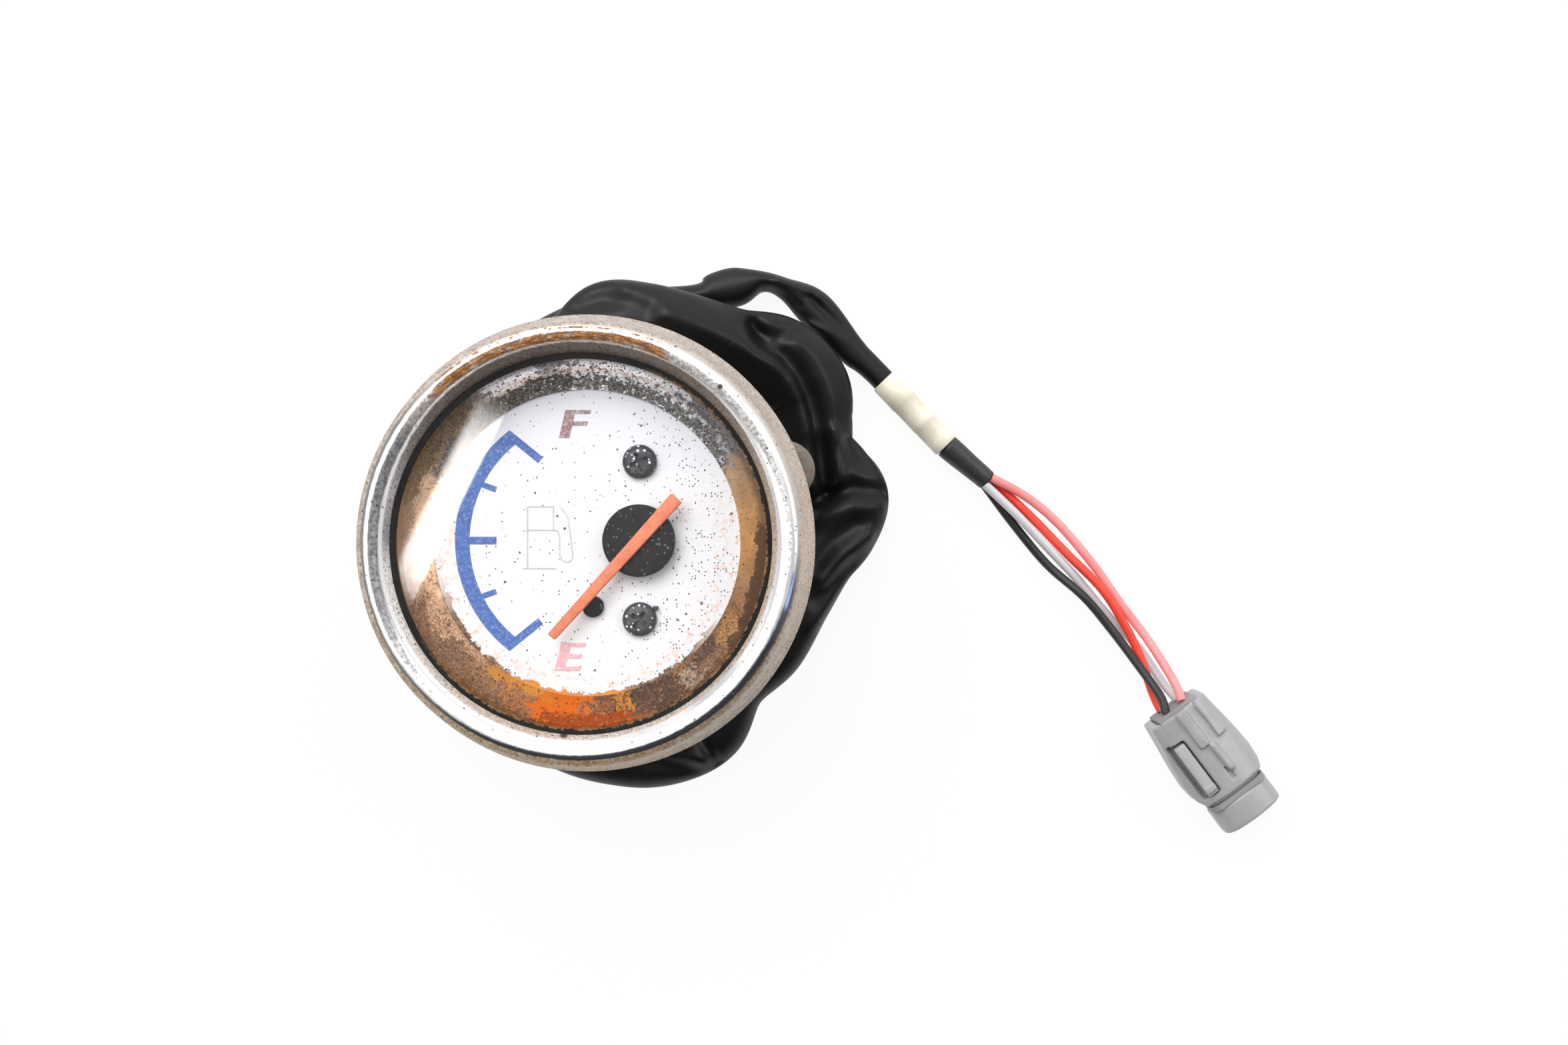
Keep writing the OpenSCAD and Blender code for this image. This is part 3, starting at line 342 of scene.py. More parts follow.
class Net:
    """A node tree with short helpers. The same helpers fill a material and a node group."""

    def __init__(self, tree: bpy.types.NodeTree) -> None:
        """Wraps an empty node tree."""
        self.tree = tree

    def node(self, kind: str, **props: object) -> bpy.types.Node:
        """Adds a shader node and sets its properties."""
        made = self.tree.nodes.new("ShaderNode" + kind)
        for key, value in props.items():
            setattr(made, key, value)
        return made

    def feed(self, socket: Socket, value: Value | None) -> None:
        """Links a socket to an output, or sets its plain value."""
        if value is None:
            return
        if isinstance(value, Socket):
            self.tree.links.new(value, socket)
        elif isinstance(value, tuple) and socket.type == "RGBA":
            socket.default_value = (*value[:3], 1.0)
        else:
            socket.default_value = value

    def fill(self, node: bpy.types.Node, *values: Value | None, **named: Value) -> bpy.types.Node:
        """Feeds a node's first inputs in order, and others by name."""
        for socket, value in zip(node.inputs, values):
            self.feed(socket, value)
        for name, value in named.items():
            self.feed(node.inputs[name], value)
        return node

    def show(self, shader: Socket, kind: str = "OutputMaterial") -> None:
        """Links a shader to a new output node."""
        self.fill(self.node(kind), shader)

    def coords(self) -> Socket:
        """Object coordinates, in metres."""
        return self.node("TexCoord").outputs["Object"]

    def parts(self, whole: Value, kind: str = "SeparateXYZ") -> list[Socket]:
        """The three parts of a vector or a colour."""
        return self.fill(self.node(kind), whole).outputs[:3]

    def math(self, operation: str, a: Value, b: Value | None = None, clamp: bool = False) -> Socket:
        """One Math node. Its third input stays at a half."""
        return self.fill(self.node("Math", operation=operation, use_clamp=clamp), a, b).outputs[0]

    def fold(self, operation: str, *values: Value) -> Socket:
        """Joins values by one operation, from left to right."""
        total = values[0]
        for value in values[1:]:
            total = self.math(operation, total, value)
        return total

    plus = partialmethod(fold, "ADD")
    minus = partialmethod(fold, "SUBTRACT")
    times = partialmethod(fold, "MULTIPLY")
    most = partialmethod(fold, "MAXIMUM")

    def rest(self, value: Value) -> Socket:
        """What a share leaves of one."""
        return self.minus(1.0, value)

    def span(
        self, value: Value, low: Value, high: Value, to_low: float = 0.0, to_high: float = 1.0
    ) -> Socket:
        """Maps a range smoothly to another, held at both ends."""
        made = self.node("MapRange", interpolation_type="SMOOTHSTEP")
        return self.fill(made, value, low, high, to_low, to_high).outputs[0]

    def mix(self, amount: Value, a: Value, b: Value, blend: str = "MIX") -> Socket:
        """Mixes two colours."""
        made = self.node("Mix", data_type="RGBA", blend_type=blend)
        return self.fill(made, amount, None, None, None, None, None, a, b).outputs[2]

    def tinted(self, color: Value, by: Value) -> Socket:
        """Multiplies a colour by another or by a number."""
        return self.mix(1.0, color, by, "MULTIPLY")

    def blend(self, amount: Value, a: Value, b: Value) -> Socket:
        """Mixes two numbers."""
        return self.fill(self.node("Mix", data_type="FLOAT"), amount, None, a, b).outputs[0]

    def mix_shaders(self, amount: Value, a: Socket, b: Socket) -> Socket:
        """Mixes two shaders."""
        return self.fill(self.node("MixShader"), amount, a, b).outputs[0]

    def noise(self, vector: Value, scale: Value, detail: float, rough: float, warp: float = 0.0) -> Socket:
        """Noise between 0 and 1, its scale in cells for each millimetre."""
        cells = self.times(scale, MM_PER_M) if isinstance(scale, Socket) else scale * MM_PER_M
        made = self.node("TexNoise")
        self.fill(made, Vector=vector, Scale=cells, Detail=detail, Roughness=rough, Distortion=warp)
        return made.outputs["Fac"]

    def ramp(self, value: Value, stops: Stops) -> Socket:
        """Colour ramp."""
        made = self.fill(self.node("ValToRGB"), value)
        ramp = made.color_ramp
        while len(ramp.elements) < len(stops):
            ramp.elements.new(0.5)
        for element, (place, color) in zip(ramp.elements, stops):
            element.position = place
            element.color = (*color, 1.0)
        return made.outputs[0]

    def away(self, vector: Value, point: Row) -> Socket:
        """Distance from a point, both in metres."""
        gap = self.fill(self.node("VectorMath", operation="DISTANCE"), vector)
        gap.inputs[1].default_value = point
        return gap.outputs["Value"]

    def near(self, vector: Value, point: Row, inner: float, outer: float) -> Socket:
        """Mask of a small spot round a point, all in millimetres."""
        return self.span(self.away(vector, Vector(point) * MM), inner * MM, outer * MM, 1.0, 0.0)

    def ring(self, radius: Value, low: float, high: float, soft: float) -> Socket:
        """Mask of a ring between two radii."""
        inside = self.span(radius, high - soft, high + soft, 1.0, 0.0)
        return self.times(self.span(radius, low - soft, low + soft), inside)

    def shifted(self, value: Value, field_: Value, by: float) -> Socket:
        """Moves a value to and fro by a noise field."""
        return self.plus(value, self.times(self.minus(field_, 0.5), by))

    def bump(self, height: Value, depth: float, under: Socket | None = None) -> Socket:
        """Bump normal, its depth in millimetres."""
        made = self.node("Bump")
        self.fill(made, Strength=1.0, Distance=depth * MM, Height=height, Normal=under)
        return made.outputs["Normal"]

    def use(self, effect: "Effect", *values: Value) -> Sequence[Socket]:
        """Places a shared effect, feeds its inputs in order and hands out its outputs."""
        return self.fill(self.node("Group", node_tree=effect.tree()), *values).outputs

    def mask(self, effect: "Effect", *values: Value) -> Socket:
        """Places a shared effect with a single output."""
        return self.use(effect, *values)[0]


def emptied(owner: bpy.types.Material | bpy.types.World) -> Net:
    """Gives a material or a world an empty node tree."""
    owner.use_nodes = True
    owner.node_tree.nodes.clear()
    return Net(owner.node_tree)


_trees: dict[str, bpy.types.NodeTree] = {}


@dataclass(frozen=True)
class Effect:
    """A node group that several materials share.

    Attributes:
        name: The group's name.
        inputs: Names of what goes in. The one named Vector is a vector, the others are numbers.
        outputs: Names of the numbers that come out.
        work: Given the group's net and its inputs, returns its outputs.
    """

    name: str
    inputs: Sequence[str]
    outputs: Sequence[str]
    work: Callable[..., Sequence[Socket]]

    def tree(self) -> bpy.types.NodeTree:
        """The node group, built on first use."""
        if self.name not in _trees:
            tree = _trees[self.name] = bpy.data.node_groups.new(self.name, "ShaderNodeTree")
            for label in self.inputs:
                kind = "NodeSocketVector" if label == "Vector" else "NodeSocketFloat"
                tree.interface.new_socket(label, in_out="INPUT", socket_type=kind)
            for label in self.outputs:
                tree.interface.new_socket(label, in_out="OUTPUT", socket_type="NodeSocketFloat")
            net = Net(tree)
            given = tree.nodes.new("NodeGroupInput").outputs[:len(self.inputs)]
            net.fill(tree.nodes.new("NodeGroupOutput"), *self.work(net, *given))
        return _trees[self.name]


def polar_work(net: Net, place: Socket) -> Sequence[Socket]:
    """Radius in millimetres, angle in degrees from +X and height in millimetres, about the gauge's axis."""
    x, y, z = net.parts(place)
    reach = net.math("SQRT", net.plus(net.times(x, x), net.times(y, y)))
    turn = net.times(net.math("ARCTAN2", y, x), 180 / math.pi)
    return net.times(reach, MM_PER_M), net.math("FLOORED_MODULO", turn, 360.0), net.times(z, MM_PER_M)


def sector_work(net: Net, angle: Socket, centre: Socket, half: Socket, soft: Socket) -> Sequence[Socket]:
    """Mask of the part of a ring round one angle: 1 at its centre, 0 past its half width."""
    gap = net.minus(net.math("FLOORED_MODULO", net.plus(net.minus(angle, centre), 180.0), 360.0), 180.0)
    return [net.span(net.math("ABSOLUTE", gap), half, net.plus(half, soft), 1.0, 0.0)]


def patches_work(net: Net, vector: Socket, scale: Socket, cover: Socket, soft: Socket) -> Sequence[Socket]:
    """Mask of irregular patches, larger as Cover goes from 0 to 1."""
    edge = net.minus(0.78, net.times(cover, 0.56))
    return [net.span(net.noise(vector, scale, 6.0, 0.62, 0.3), net.minus(edge, soft), net.plus(edge, soft))]


def specks_work(net: Net, vector: Socket, scale: Socket, amount: Socket, size: Socket) -> Sequence[Socket]:
    """Mask of small scattered dots, more of them as Amount goes from 0 to 1."""
    cells = net.node("TexVoronoi", feature="F1")
    net.fill(cells, Vector=vector, Scale=net.times(scale, MM_PER_M))
    pick, vary, _ = net.parts(cells.outputs["Color"], "SeparateColor")
    radius = net.times(size, net.plus(net.times(vary, 0.8), 0.35))
    wobble = net.noise(vector, net.times(scale, 2.5), 2.0, 0.6)
    shape = net.shifted(cells.outputs["Distance"], wobble, 0.25)
    dot = net.span(shape, radius, net.plus(radius, 0.1), 1.0, 0.0)
    return [net.times(dot, net.math("LESS_THAN", pick, amount))]


POLAR = Effect("polar", ("Vector",), ("Radius", "Angle", "Height"), polar_work)
SECTOR = Effect("sector", ("Angle", "Centre", "Half", "Soft"), ("Mask",), sector_work)
PATCHES = Effect("patches", ("Vector", "Scale", "Cover", "Soft"), ("Mask",), patches_work)
SPECKS = Effect("specks", ("Vector", "Scale", "Amount", "Size"), ("Mask",), specks_work)


# Finishes


@dataclass(frozen=True)
class Finish:
    """A plain finish with uneven colour, a fine grain, and dust or spots over it.

    Colours are linear. Scales are in cells for each millimetre.

    Attributes:
        name: The material's name.
        color: Its main colour.
        shade: The colour that it varies towards.
        roughness: Its roughness, which varies a little.
        metallic: How metallic it is.
        uneven: Scale of the colour's clouds.
        grain: Scale of the grain.
        grain_depth: Depth of the grain, in millimetres.
        dust: How much the dust covers, from 0 to 1.
        dust_color: The dust's colour.
        dust_scale: Scale of the dust's patches.
        spots: How many spots there are, from 0 to 1.
        spot_color: The spots' colour.
        spot_scale: Scale of the spots.
        specular: The shader's specular level.
        ior: The shader's index of refraction.
    """

    name: str
    color: Color
    shade: Color
    roughness: float = 0.5
    metallic: float = 0.0
    uneven: float = 0.12
    grain: float = 3.0
    grain_depth: float = 0.02
    dust: float = 0.0
    dust_color: Color = (0.55, 0.54, 0.52)
    dust_scale: float = 1.2
    spots: float = 0.0
    spot_color: Color = (0.02, 0.02, 0.02)
    spot_scale: float = 1.6
    specular: float = 0.5
    ior: float = 1.5

    def shader(self, net: Net) -> bpy.types.Node:
        """Adds the Principled shader, with the values that are the same all over."""
        principled = net.node("BsdfPrincipled")
        uniform = {"Metallic": self.metallic, "Specular IOR Level": self.specular, "IOR": self.ior}
        return net.fill(principled, **uniform)

    def shown(self, net: Net, principled: bpy.types.Node) -> Socket:
        """The shader that the material shows."""
        return principled.outputs[0]

    def surface(self, net: Net, place: Socket) -> tuple[Socket, Socket, Socket]:
        """Builds colour, roughness and height.

        Args:
            net: The material's net.
            place: Object coordinates.

        Returns:
            The colour, the roughness and the bump's height.
        """
        color = net.mix(
            net.span(net.noise(place, self.uneven, 4.0, 0.6), 0.35, 0.65), self.color, self.shade
        )
        fine = net.noise(place, self.grain, 3.0, 0.6)
        rough = net.plus(self.roughness - 0.05, net.times(fine, 0.1))
        if self.dust:
            mask = net.mask(PATCHES, place, self.dust_scale, self.dust, 0.12)
            color = net.mix(net.times(mask, 0.8), color, self.dust_color)
            rough = net.blend(mask, rough, 0.85)
        if self.spots:
            mask = net.mask(SPECKS, place, self.spot_scale, self.spots, 0.22)
            color = net.mix(mask, color, self.spot_color)
            rough = net.blend(mask, rough, 0.8)
        return color, rough, fine

    def look(self, net: Net, place: Socket) -> dict[str, Value]:
        """Works out what varies over the surface.

        Args:
            net: The material's net.
            place: Object coordinates.

        Returns:
            What feeds the shader's sockets, by their names.
        """
        color, rough, fine = self.surface(net, place)
        return {"Base Color": color, "Roughness": rough, "Normal": net.bump(fine, self.grain_depth)}

    def material(self) -> bpy.types.Material:
        """Builds the material."""
        material = bpy.data.materials.new(self.name)
        material.diffuse_color = (*self.color, 1.0)
        net = emptied(material)
        principled = net.fill(self.shader(net), **self.look(net, net.coords()))
        net.show(self.shown(net, principled))
        return material


@dataclass(frozen=True)
class ClearGlass(Finish):
    """Clear glass that lets light and shadow rays straight through."""

    tint: Color = (0.985, 0.99, 0.992)

    def shader(self, net: Net) -> bpy.types.Node:
        """Adds the Principled shader, which lets all light through."""
        principled = super().shader(net)
        principled.inputs["Transmission Weight"].default_value = 1.0
        return principled

    def shown(self, net: Net, principled: bpy.types.Node) -> Socket:
        """The glass, left out for shadow and diffuse rays."""
        path = net.node("LightPath").outputs
        plain = net.most(path["Is Shadow Ray"], path["Is Diffuse Ray"])
        return net.mix_shaders(plain, principled.outputs[0], net.node("BsdfTransparent").outputs[0])

    def look(self, net: Net, place: Socket) -> dict[str, Value]:
        """Works out a faint smear, as Finish.look does."""
        smear = net.noise(place, 0.15, 4.0, 0.6, 1.0)
        return {"Base Color": net.mix(smear, self.tint, self.color), "Roughness": self.roughness}


@dataclass(frozen=True)
class BezelChrome(Finish):
    """Pitted chrome whose bands change round the ring: dull wall, bright and stained bands, taupe side.

    The colours of a band run over the whole turn, and partly paint in the reflections on the chrome: painted
    bright and dark reflections on the wall, the middle band and the rim line, and a painted blue glint. A
    limit between two bands is given from the wall out, as angle in degrees and radius in millimetres.
    """

    wall: Stops = (
        (0.0, (0.6, 0.47, 0.35)), (0.1, (0.34, 0.27, 0.22)), (0.16, (0.24, 0.195, 0.165)),
        (0.36, (0.19, 0.155, 0.13)), (0.42, (0.3, 0.27, 0.25)), (0.46, (0.55, 0.53, 0.56)),
        (0.495, (0.34, 0.34, 0.36)), (0.515, (0.8, 0.78, 0.76)), (0.56, (0.82, 0.78, 0.74)),
        (0.62, (0.62, 0.54, 0.48)), (0.7, (0.58, 0.44, 0.36)), (0.76, (0.6, 0.54, 0.48)),
        (0.88, (0.5, 0.42, 0.34)), (1.0, (0.6, 0.47, 0.35)),
    )
    band: Stops = (
        (0.0, (0.62, 0.62, 0.62)), (0.08, (0.42, 0.42, 0.42)), (0.165, (0.44, 0.43, 0.42)),
        (0.36, (0.5, 0.43, 0.37)), (0.4, (0.34, 0.31, 0.29)), (0.42, (0.2, 0.2, 0.21)),
        (0.55, (0.22, 0.22, 0.235)), (0.6, (0.5, 0.5, 0.51)), (0.65, (0.8, 0.8, 0.8)),
        (0.95, (0.86, 0.86, 0.87)), (1.0, (0.62, 0.62, 0.62)),
    )
    rim: Stops = (
        (0.0, (0.5, 0.47, 0.45)), (0.16, (0.64, 0.59, 0.56)), (0.3, (0.72, 0.63, 0.57)),
        (0.36, (0.4, 0.35, 0.31)), (0.4, (0.17, 0.16, 0.15)), (0.61, (0.16, 0.155, 0.15)),
        (0.67, (0.035, 0.037, 0.045)), (0.92, (0.03, 0.033, 0.045)), (0.965, (0.12, 0.14, 0.2)),
        (1.0, (0.5, 0.47, 0.45)),
    )
    side: Stops = (
        (0.0, (0.56, 0.44, 0.35)), (0.15, (0.44, 0.37, 0.325)), (0.25, (0.38, 0.31, 0.27)),
        (0.42, (0.36, 0.3, 0.26)), (0.5, (0.34, 0.27, 0.21)), (0.66, (0.42, 0.31, 0.2)),
        (0.75, (0.44, 0.3, 0.17)), (0.87, (0.34, 0.25, 0.17)), (1.0, (0.56, 0.44, 0.35)),
    )
    wall_end: Sequence[Row] = (
        (0, 31.75), (15, 31.8), (30, 31.95), (45, 32.2), (60, 32.38), (120, 32.3), (140, 32.1), (150, 31.9),
        (165, 31.75), (240, 31.7), (300, 31.5), (345, 31.5), (360, 31.75),
    )
    bright_end: Sequence[Row] = (
        (0, 33.4), (15, 33.3), (30, 32.85), (45, 32.7), (60, 32.5), (75, 32.6), (130, 32.55), (147, 32.3),
        (180, 32.25), (200, 32.4), (215, 32.7), (230, 33.3), (345, 33.3), (360, 33.4),
    )
    band_end: Sequence[Row] = (
        (0, 34.15), (15, 34.0), (60, 33.85), (70, 34.05), (130, 34.05), (150, 33.7), (205, 33.75),
        (225, 33.6), (345, 33.5), (360, 34.15),
    )
    line_end: Sequence[Row] = (
        (0, 34.95), (30, 34.95), (60, 34.8), (75, 34.5), (105, 34.4), (210, 34.3), (225, 34.15), (240, 34.0),
        (255, 33.85), (270, 33.75), (300, 33.7), (330, 33.9), (342, 34.2), (352, 34.8), (360, 34.95),
    )
    rim_end: Sequence[Row] = (
        (0, 35.55), (15, 35.7), (30, 35.6), (60, 35.2), (90, 35.0), (150, 34.9), (180, 34.8), (240, 34.6),
        (270, 34.6), (300, 34.7), (330, 34.95), (345, 35.3), (360, 35.55),
    )
    rust: Color = (0.56, 0.24, 0.06)
    deep_rust: Color = (0.14, 0.055, 0.018)
    grime: Color = (0.06, 0.042, 0.032)
    pale: Color = (0.6, 0.55, 0.5)
    glint: Color = (0.4, 0.55, 0.95)
    nicks: Sequence[tuple[Row, float, float]] = (
        ((22.6, 25.1, 55.9), 0.3, 0.6), ((-2.7, -31.0, 53.2), 0.4, 0.9)
    )

    def look(self, net: Net, place: Socket) -> dict[str, Value]:
        """Lays the bands side by side and wears them, as Finish.look does."""
        radius, angle, _ = net.use(POLAR, place)
        turn = net.math("DIVIDE", angle, 360.0)
        torn = net.noise(place, 0.8, 6.0, 0.68)
        ragged = net.shifted(radius, torn, 0.45)
        cloudy = net.noise(place, 0.28, 5.0, 0.65)
        fine = net.noise(place, 2.4, 5.0, 0.72)
        swayed = net.shifted(angle, net.noise(place, 0.3, 4.0, 0.6), 16.0)

        def sector(centre: float, half: float, soft: float) -> Socket:
            """Mask of one part of the ring, with an uneven end."""
            return net.mask(SECTOR, swayed, centre, half, soft)

        def beyond(limit: Sequence[Row], soft: Value) -> Socket:
            """Mask of what lies outside one limit."""
            least, reach = 30.0, 8.0
            stops = [(degrees / 360.0, ((edge - least) / reach,) * 3) for degrees, edge in limit]
            edge = net.plus(net.times(net.ramp(turn, stops), reach), least)
            return net.span(net.minus(ragged, edge), net.times(soft, -1.0), soft)

        # the wall's colours by angle: its dull tone with painted bright and dark reflections
        inner = beyond(self.wall_end, 0.16)
        wall = net.tinted(net.ramp(turn, self.wall), net.span(fine, 0.4, 0.62, 0.7, 1.25))
        color = net.mix(inner, wall, self.color)
        # the stained band between the two bright ones: its colours by angle are painted dark and bright
        # reflections, with rust drawn out along the ring at the top
        streaky = net.span(net.noise(place, 1.5, 6.0, 0.75), 0.38, 0.62, 0.6, 1.6)
        stained = net.tinted(net.ramp(turn, self.band), streaky)
        lengthwise = net.fill(
            net.node("CombineXYZ"), net.times(angle, 0.00015), net.times(radius, MM)
        ).outputs[0]
        eaten = net.span(net.noise(lengthwise, 1.3, 9.0, 0.78), 0.4, 0.48)
        rusted = net.times(sector(98.0, 32.0, 5.0), eaten)
        rust_mix = net.span(net.noise(lengthwise, 2.2, 9.0, 0.82), 0.46, 0.6)
        rusty = net.mix(rust_mix, self.deep_rust, self.rust)
        stained = net.mix(rusted, stained, rusty)
        middle = net.times(beyond(self.bright_end, 0.14), net.rest(beyond(self.band_end, 0.1)))
        color = net.mix(middle, color, stained)
        # the rim line, its colours by angle with painted dark reflections round its left side and a
        # near-black painted reflection along its lower part, and the outer side
        rim = beyond(self.line_end, net.blend(sector(270.0, 80.0, 20.0), 0.09, 0.2))
        dashes = net.times(
            sector(98.0, 34.0, 4.0), net.span(torn, 0.48, 0.56), net.ring(radius, 34.45, 34.75, 0.1)
        )
        color = net.mix(rim, color, net.mix(dashes, net.ramp(turn, self.rim), rusty))
        flank = beyond(self.rim_end, net.blend(sector(20.0, 55.0, 20.0), 0.1, 0.4))
        pale = net.mask(PATCHES, place, 0.55, 0.42, 0.07)
        sided = net.tinted(net.ramp(turn, self.side), net.span(fine, 0.42, 0.58, 0.68, 1.25))
        color = net.mix(flank, color, net.mix(net.times(pale, 0.38), sided, self.pale))
        glint = net.times(net.mask(SECTOR, angle, 347.5, 3.5, 2.5), net.ring(radius, 34.4, 34.85, 0.08))
        color = net.mix(glint, color, self.glint)
        # pits and grime, most of all on the outer side
        dull = net.most(net.rest(inner), flank)
        pits = net.times(net.mask(SPECKS, place, 1.3, 0.14, 0.2), 0.85)
        small = net.times(net.mask(SPECKS, place, 2.4, 0.45, 0.25), dull)
        grime = net.most(pits, small, *(net.near(place, *nick) for nick in self.nicks))
        color = net.mix(grime, color, self.grime)
        edge = net.most(middle, net.times(rim, net.rest(flank)))
        marred = net.most(net.times(rusted, middle), grime, dashes)
        rough = net.blend(net.most(dull, edge), net.span(cloudy, 0.35, 0.65, 0.1, 0.2), 0.42)
        # the metal share stays at most 0.7 and drops where dull or at the band and rim, so the painted
        # colours show as diffuse colour and the white base paints part of the bright bands' highlight
        worn = net.most(net.times(dull, 0.75), net.times(edge, 0.6), 0.3)
        relief = net.plus(net.times(marred, 0.6), net.times(fine, 0.3))
        return {
            "Base Color": color,
            "Roughness": net.blend(marred, rough, 0.72),
            "Metallic": net.math("SUBTRACT", 1.0, net.most(marred, worn), clamp=True),
            "Normal": net.bump(relief, 0.05),
        }


@dataclass(frozen=True)
class Blotch:
    """One ragged patch of the trim ring.

    Attributes:
        centre: Its angle, in degrees.
        half: Half its extent along the ring, in degrees.
        low: Its inner radius, in millimetres.
        high: Its outer radius.
        color: Its colour.
        metal: How much bare metal shows in it.
        share: How much it covers.
        soft: How softly its ends fade, in degrees.
        torn: How much the grain tears it up.
        calm: How much of the rust's grit it hides.
    """

    centre: float
    half: float
    low: float
    high: float
    color: Color
    metal: float
    share: float
    soft: float
    torn: float
    calm: float = 0.0


RUST, TARNISH, CHROME = (1.0, 0.0, 0.0), (0.0, 1.0, 0.0), (0.0, 0.0, 1.0)


@dataclass(frozen=True)
class CorrodedRing(Finish):
    """Chromed trim ring, mostly corroded: hues by the angle, with blotches over them."""

    hues: Stops = (
        (0.0, (0.52, 0.27, 0.095)), (0.05, (0.47, 0.27, 0.13)), (0.078, (0.38, 0.27, 0.18)),
        (0.09, (0.4, 0.4, 0.41)), (0.16, (0.6, 0.6, 0.61)), (0.24, (0.8, 0.8, 0.8)),
        (0.3, (0.5, 0.49, 0.48)), (0.345, (0.42, 0.38, 0.33)), (0.37, (0.34, 0.26, 0.17)),
        (0.42, (0.32, 0.24, 0.15)), (0.435, (0.85, 0.58, 0.4)), (0.53, (0.97, 0.62, 0.4)),
        (0.555, (0.6, 0.37, 0.23)), (0.61, (0.56, 0.33, 0.21)), (0.65, (0.36, 0.17, 0.08)),
        (0.745, (0.3, 0.1, 0.035)), (0.775, (0.13, 0.055, 0.03)), (0.83, (0.17, 0.08, 0.04)),
        (0.87, (0.25, 0.14, 0.08)), (0.93, (0.22, 0.11, 0.05)), (0.97, (0.34, 0.18, 0.08)),
        (1.0, (0.52, 0.26, 0.08)),
    )
    # what covers the ring, by the angle
    kinds: Stops = (
        (0.0, TARNISH), (0.078, TARNISH), (0.09, CHROME), (0.33, CHROME), (0.36, RUST), (0.425, RUST),
        (0.44, TARNISH), (0.535, TARNISH), (0.56, RUST), (0.93, RUST), (0.97, TARNISH),
    )
    blotches: Sequence[Blotch] = (
        Blotch(43, 14, 28.3, 32, (0.2, 0.2, 0.22), 0.8, 0.9, 3, 3),
        Blotch(77, 20, 28.2, 32, (1.0, 1.0, 1.0), 1.0, 1.0, 1.5, 5),
        Blotch(113, 8, 28.5, 32, (1.0, 1.0, 1.0), 1.0, 1.0, 2, 5),
        Blotch(101, 3, 28.8, 32, (0.3, 0.3, 0.31), 0.9, 0.9, 4, 2),
        Blotch(76, 40, 26.0, 27.4, (0.3, 0.295, 0.29), 0.35, 0.8, 6, 6),
        Blotch(100, 28, 25.2, 26.8, (0.16, 0.14, 0.12), 0.2, 0.85, 6, 6),
        Blotch(117, 17, 26.0, 28.3, (0.1, 0.075, 0.035), 0.0, 0.9, 8, 7),
        Blotch(87, 8, 25.0, 26.4, (1.0, 1.0, 1.0), 1.0, 1.0, 3, 6),
        Blotch(143, 11, 26.6, 27.8, (0.22, 0.23, 0.25), 0.5, 0.8, 4, 3),
        Blotch(156, 8, 28.9, 32, (0.2, 0.14, 0.07), 0.0, 0.8, 5, 6),
        Blotch(214, 12, 28.7, 32, (0.24, 0.13, 0.08), 0.0, 0.7, 5, 6),
        Blotch(221, 5, 26.6, 29.0, (0.14, 0.09, 0.06), 0.0, 0.8, 4, 5),
        Blotch(231, 7, 27.2, 29.8, (0.2, 0.11, 0.06), 0.0, 0.7, 5, 6),
        Blotch(244, 7, 24.0, 27.2, (0.56, 0.24, 0.04), 0.0, 1.0, 3, 4, 0.8),
        Blotch(249, 6, 26.5, 29.8, (0.3, 0.12, 0.05), 0.0, 0.8, 3, 5),
        Blotch(262, 7, 24.0, 29.9, (0.6, 0.115, 0.0), 0.0, 1.0, 3, 3, 0.9),
        Blotch(256, 4, 24.0, 27.0, (0.58, 0.15, 0.004), 0.0, 1.0, 2, 4, 0.9),
        Blotch(274, 14, 28.4, 30.4, (0.3, 0.045, 0.0), 0.0, 1.0, 4, 3, 0.8),
        Blotch(288, 3, 28.0, 30.4, (0.4, 0.12, 0.015), 0.0, 0.9, 3, 5),
        Blotch(281, 1.5, 25.2, 28.6, (0.5, 0.2, 0.03), 0.0, 0.9, 1.5, 6),
        Blotch(294, 8, 25.6, 29.9, (0.08, 0.045, 0.034), 0.0, 0.9, 4, 5),
        Blotch(308, 2, 26.6, 29.6, (0.42, 0.36, 0.3), 0.0, 0.5, 2, 5),
        Blotch(316, 4, 25.4, 28.0, (0.08, 0.05, 0.04), 0.0, 0.9, 3, 6),
        Blotch(327, 3, 25.8, 29.4, (0.4, 0.2, 0.07), 0.0, 0.7, 3, 7),
        Blotch(345, 18, 28.3, 32, (0.06, 0.028, 0.012), 0.0, 0.85, 6, 3),
    )
    fleck: Color = (0.46, 0.2, 0.05)
    blot: Color = (0.035, 0.024, 0.018)
    crumb: Color = (0.06, 0.05, 0.04)
    pale_crumb: Color = (0.42, 0.4, 0.37)

    def look(self, net: Net, place: Socket) -> dict[str, Value]:
        """Lays rust, tarnish and bare chrome round the ring, as Finish.look does."""
        radius, angle, _ = net.use(POLAR, place)
        torn = net.noise(place, 0.5, 6.0, 0.7)
        grain = net.minus(net.noise(place, 1.5, 8.0, 0.78), 0.5)
        swayed = net.shifted(net.shifted(angle, net.noise(place, 0.13, 3.0, 0.6), 20.0), torn, 30.0)
        ragged = net.shifted(radius, torn, 4.0)
        turn = net.math("FRACT", net.math("DIVIDE", swayed, 360.0))
        rust, smooth, chrome = net.parts(net.ramp(turn, self.kinds), "SeparateColor")
        cloudy = net.noise(place, 0.3, 5.0, 0.6)
        fine = net.noise(place, 2.6, 6.0, 0.76)
        color = net.tinted(net.ramp(turn, self.hues), net.span(cloudy, 0.3, 0.7, 0.82, 1.12))
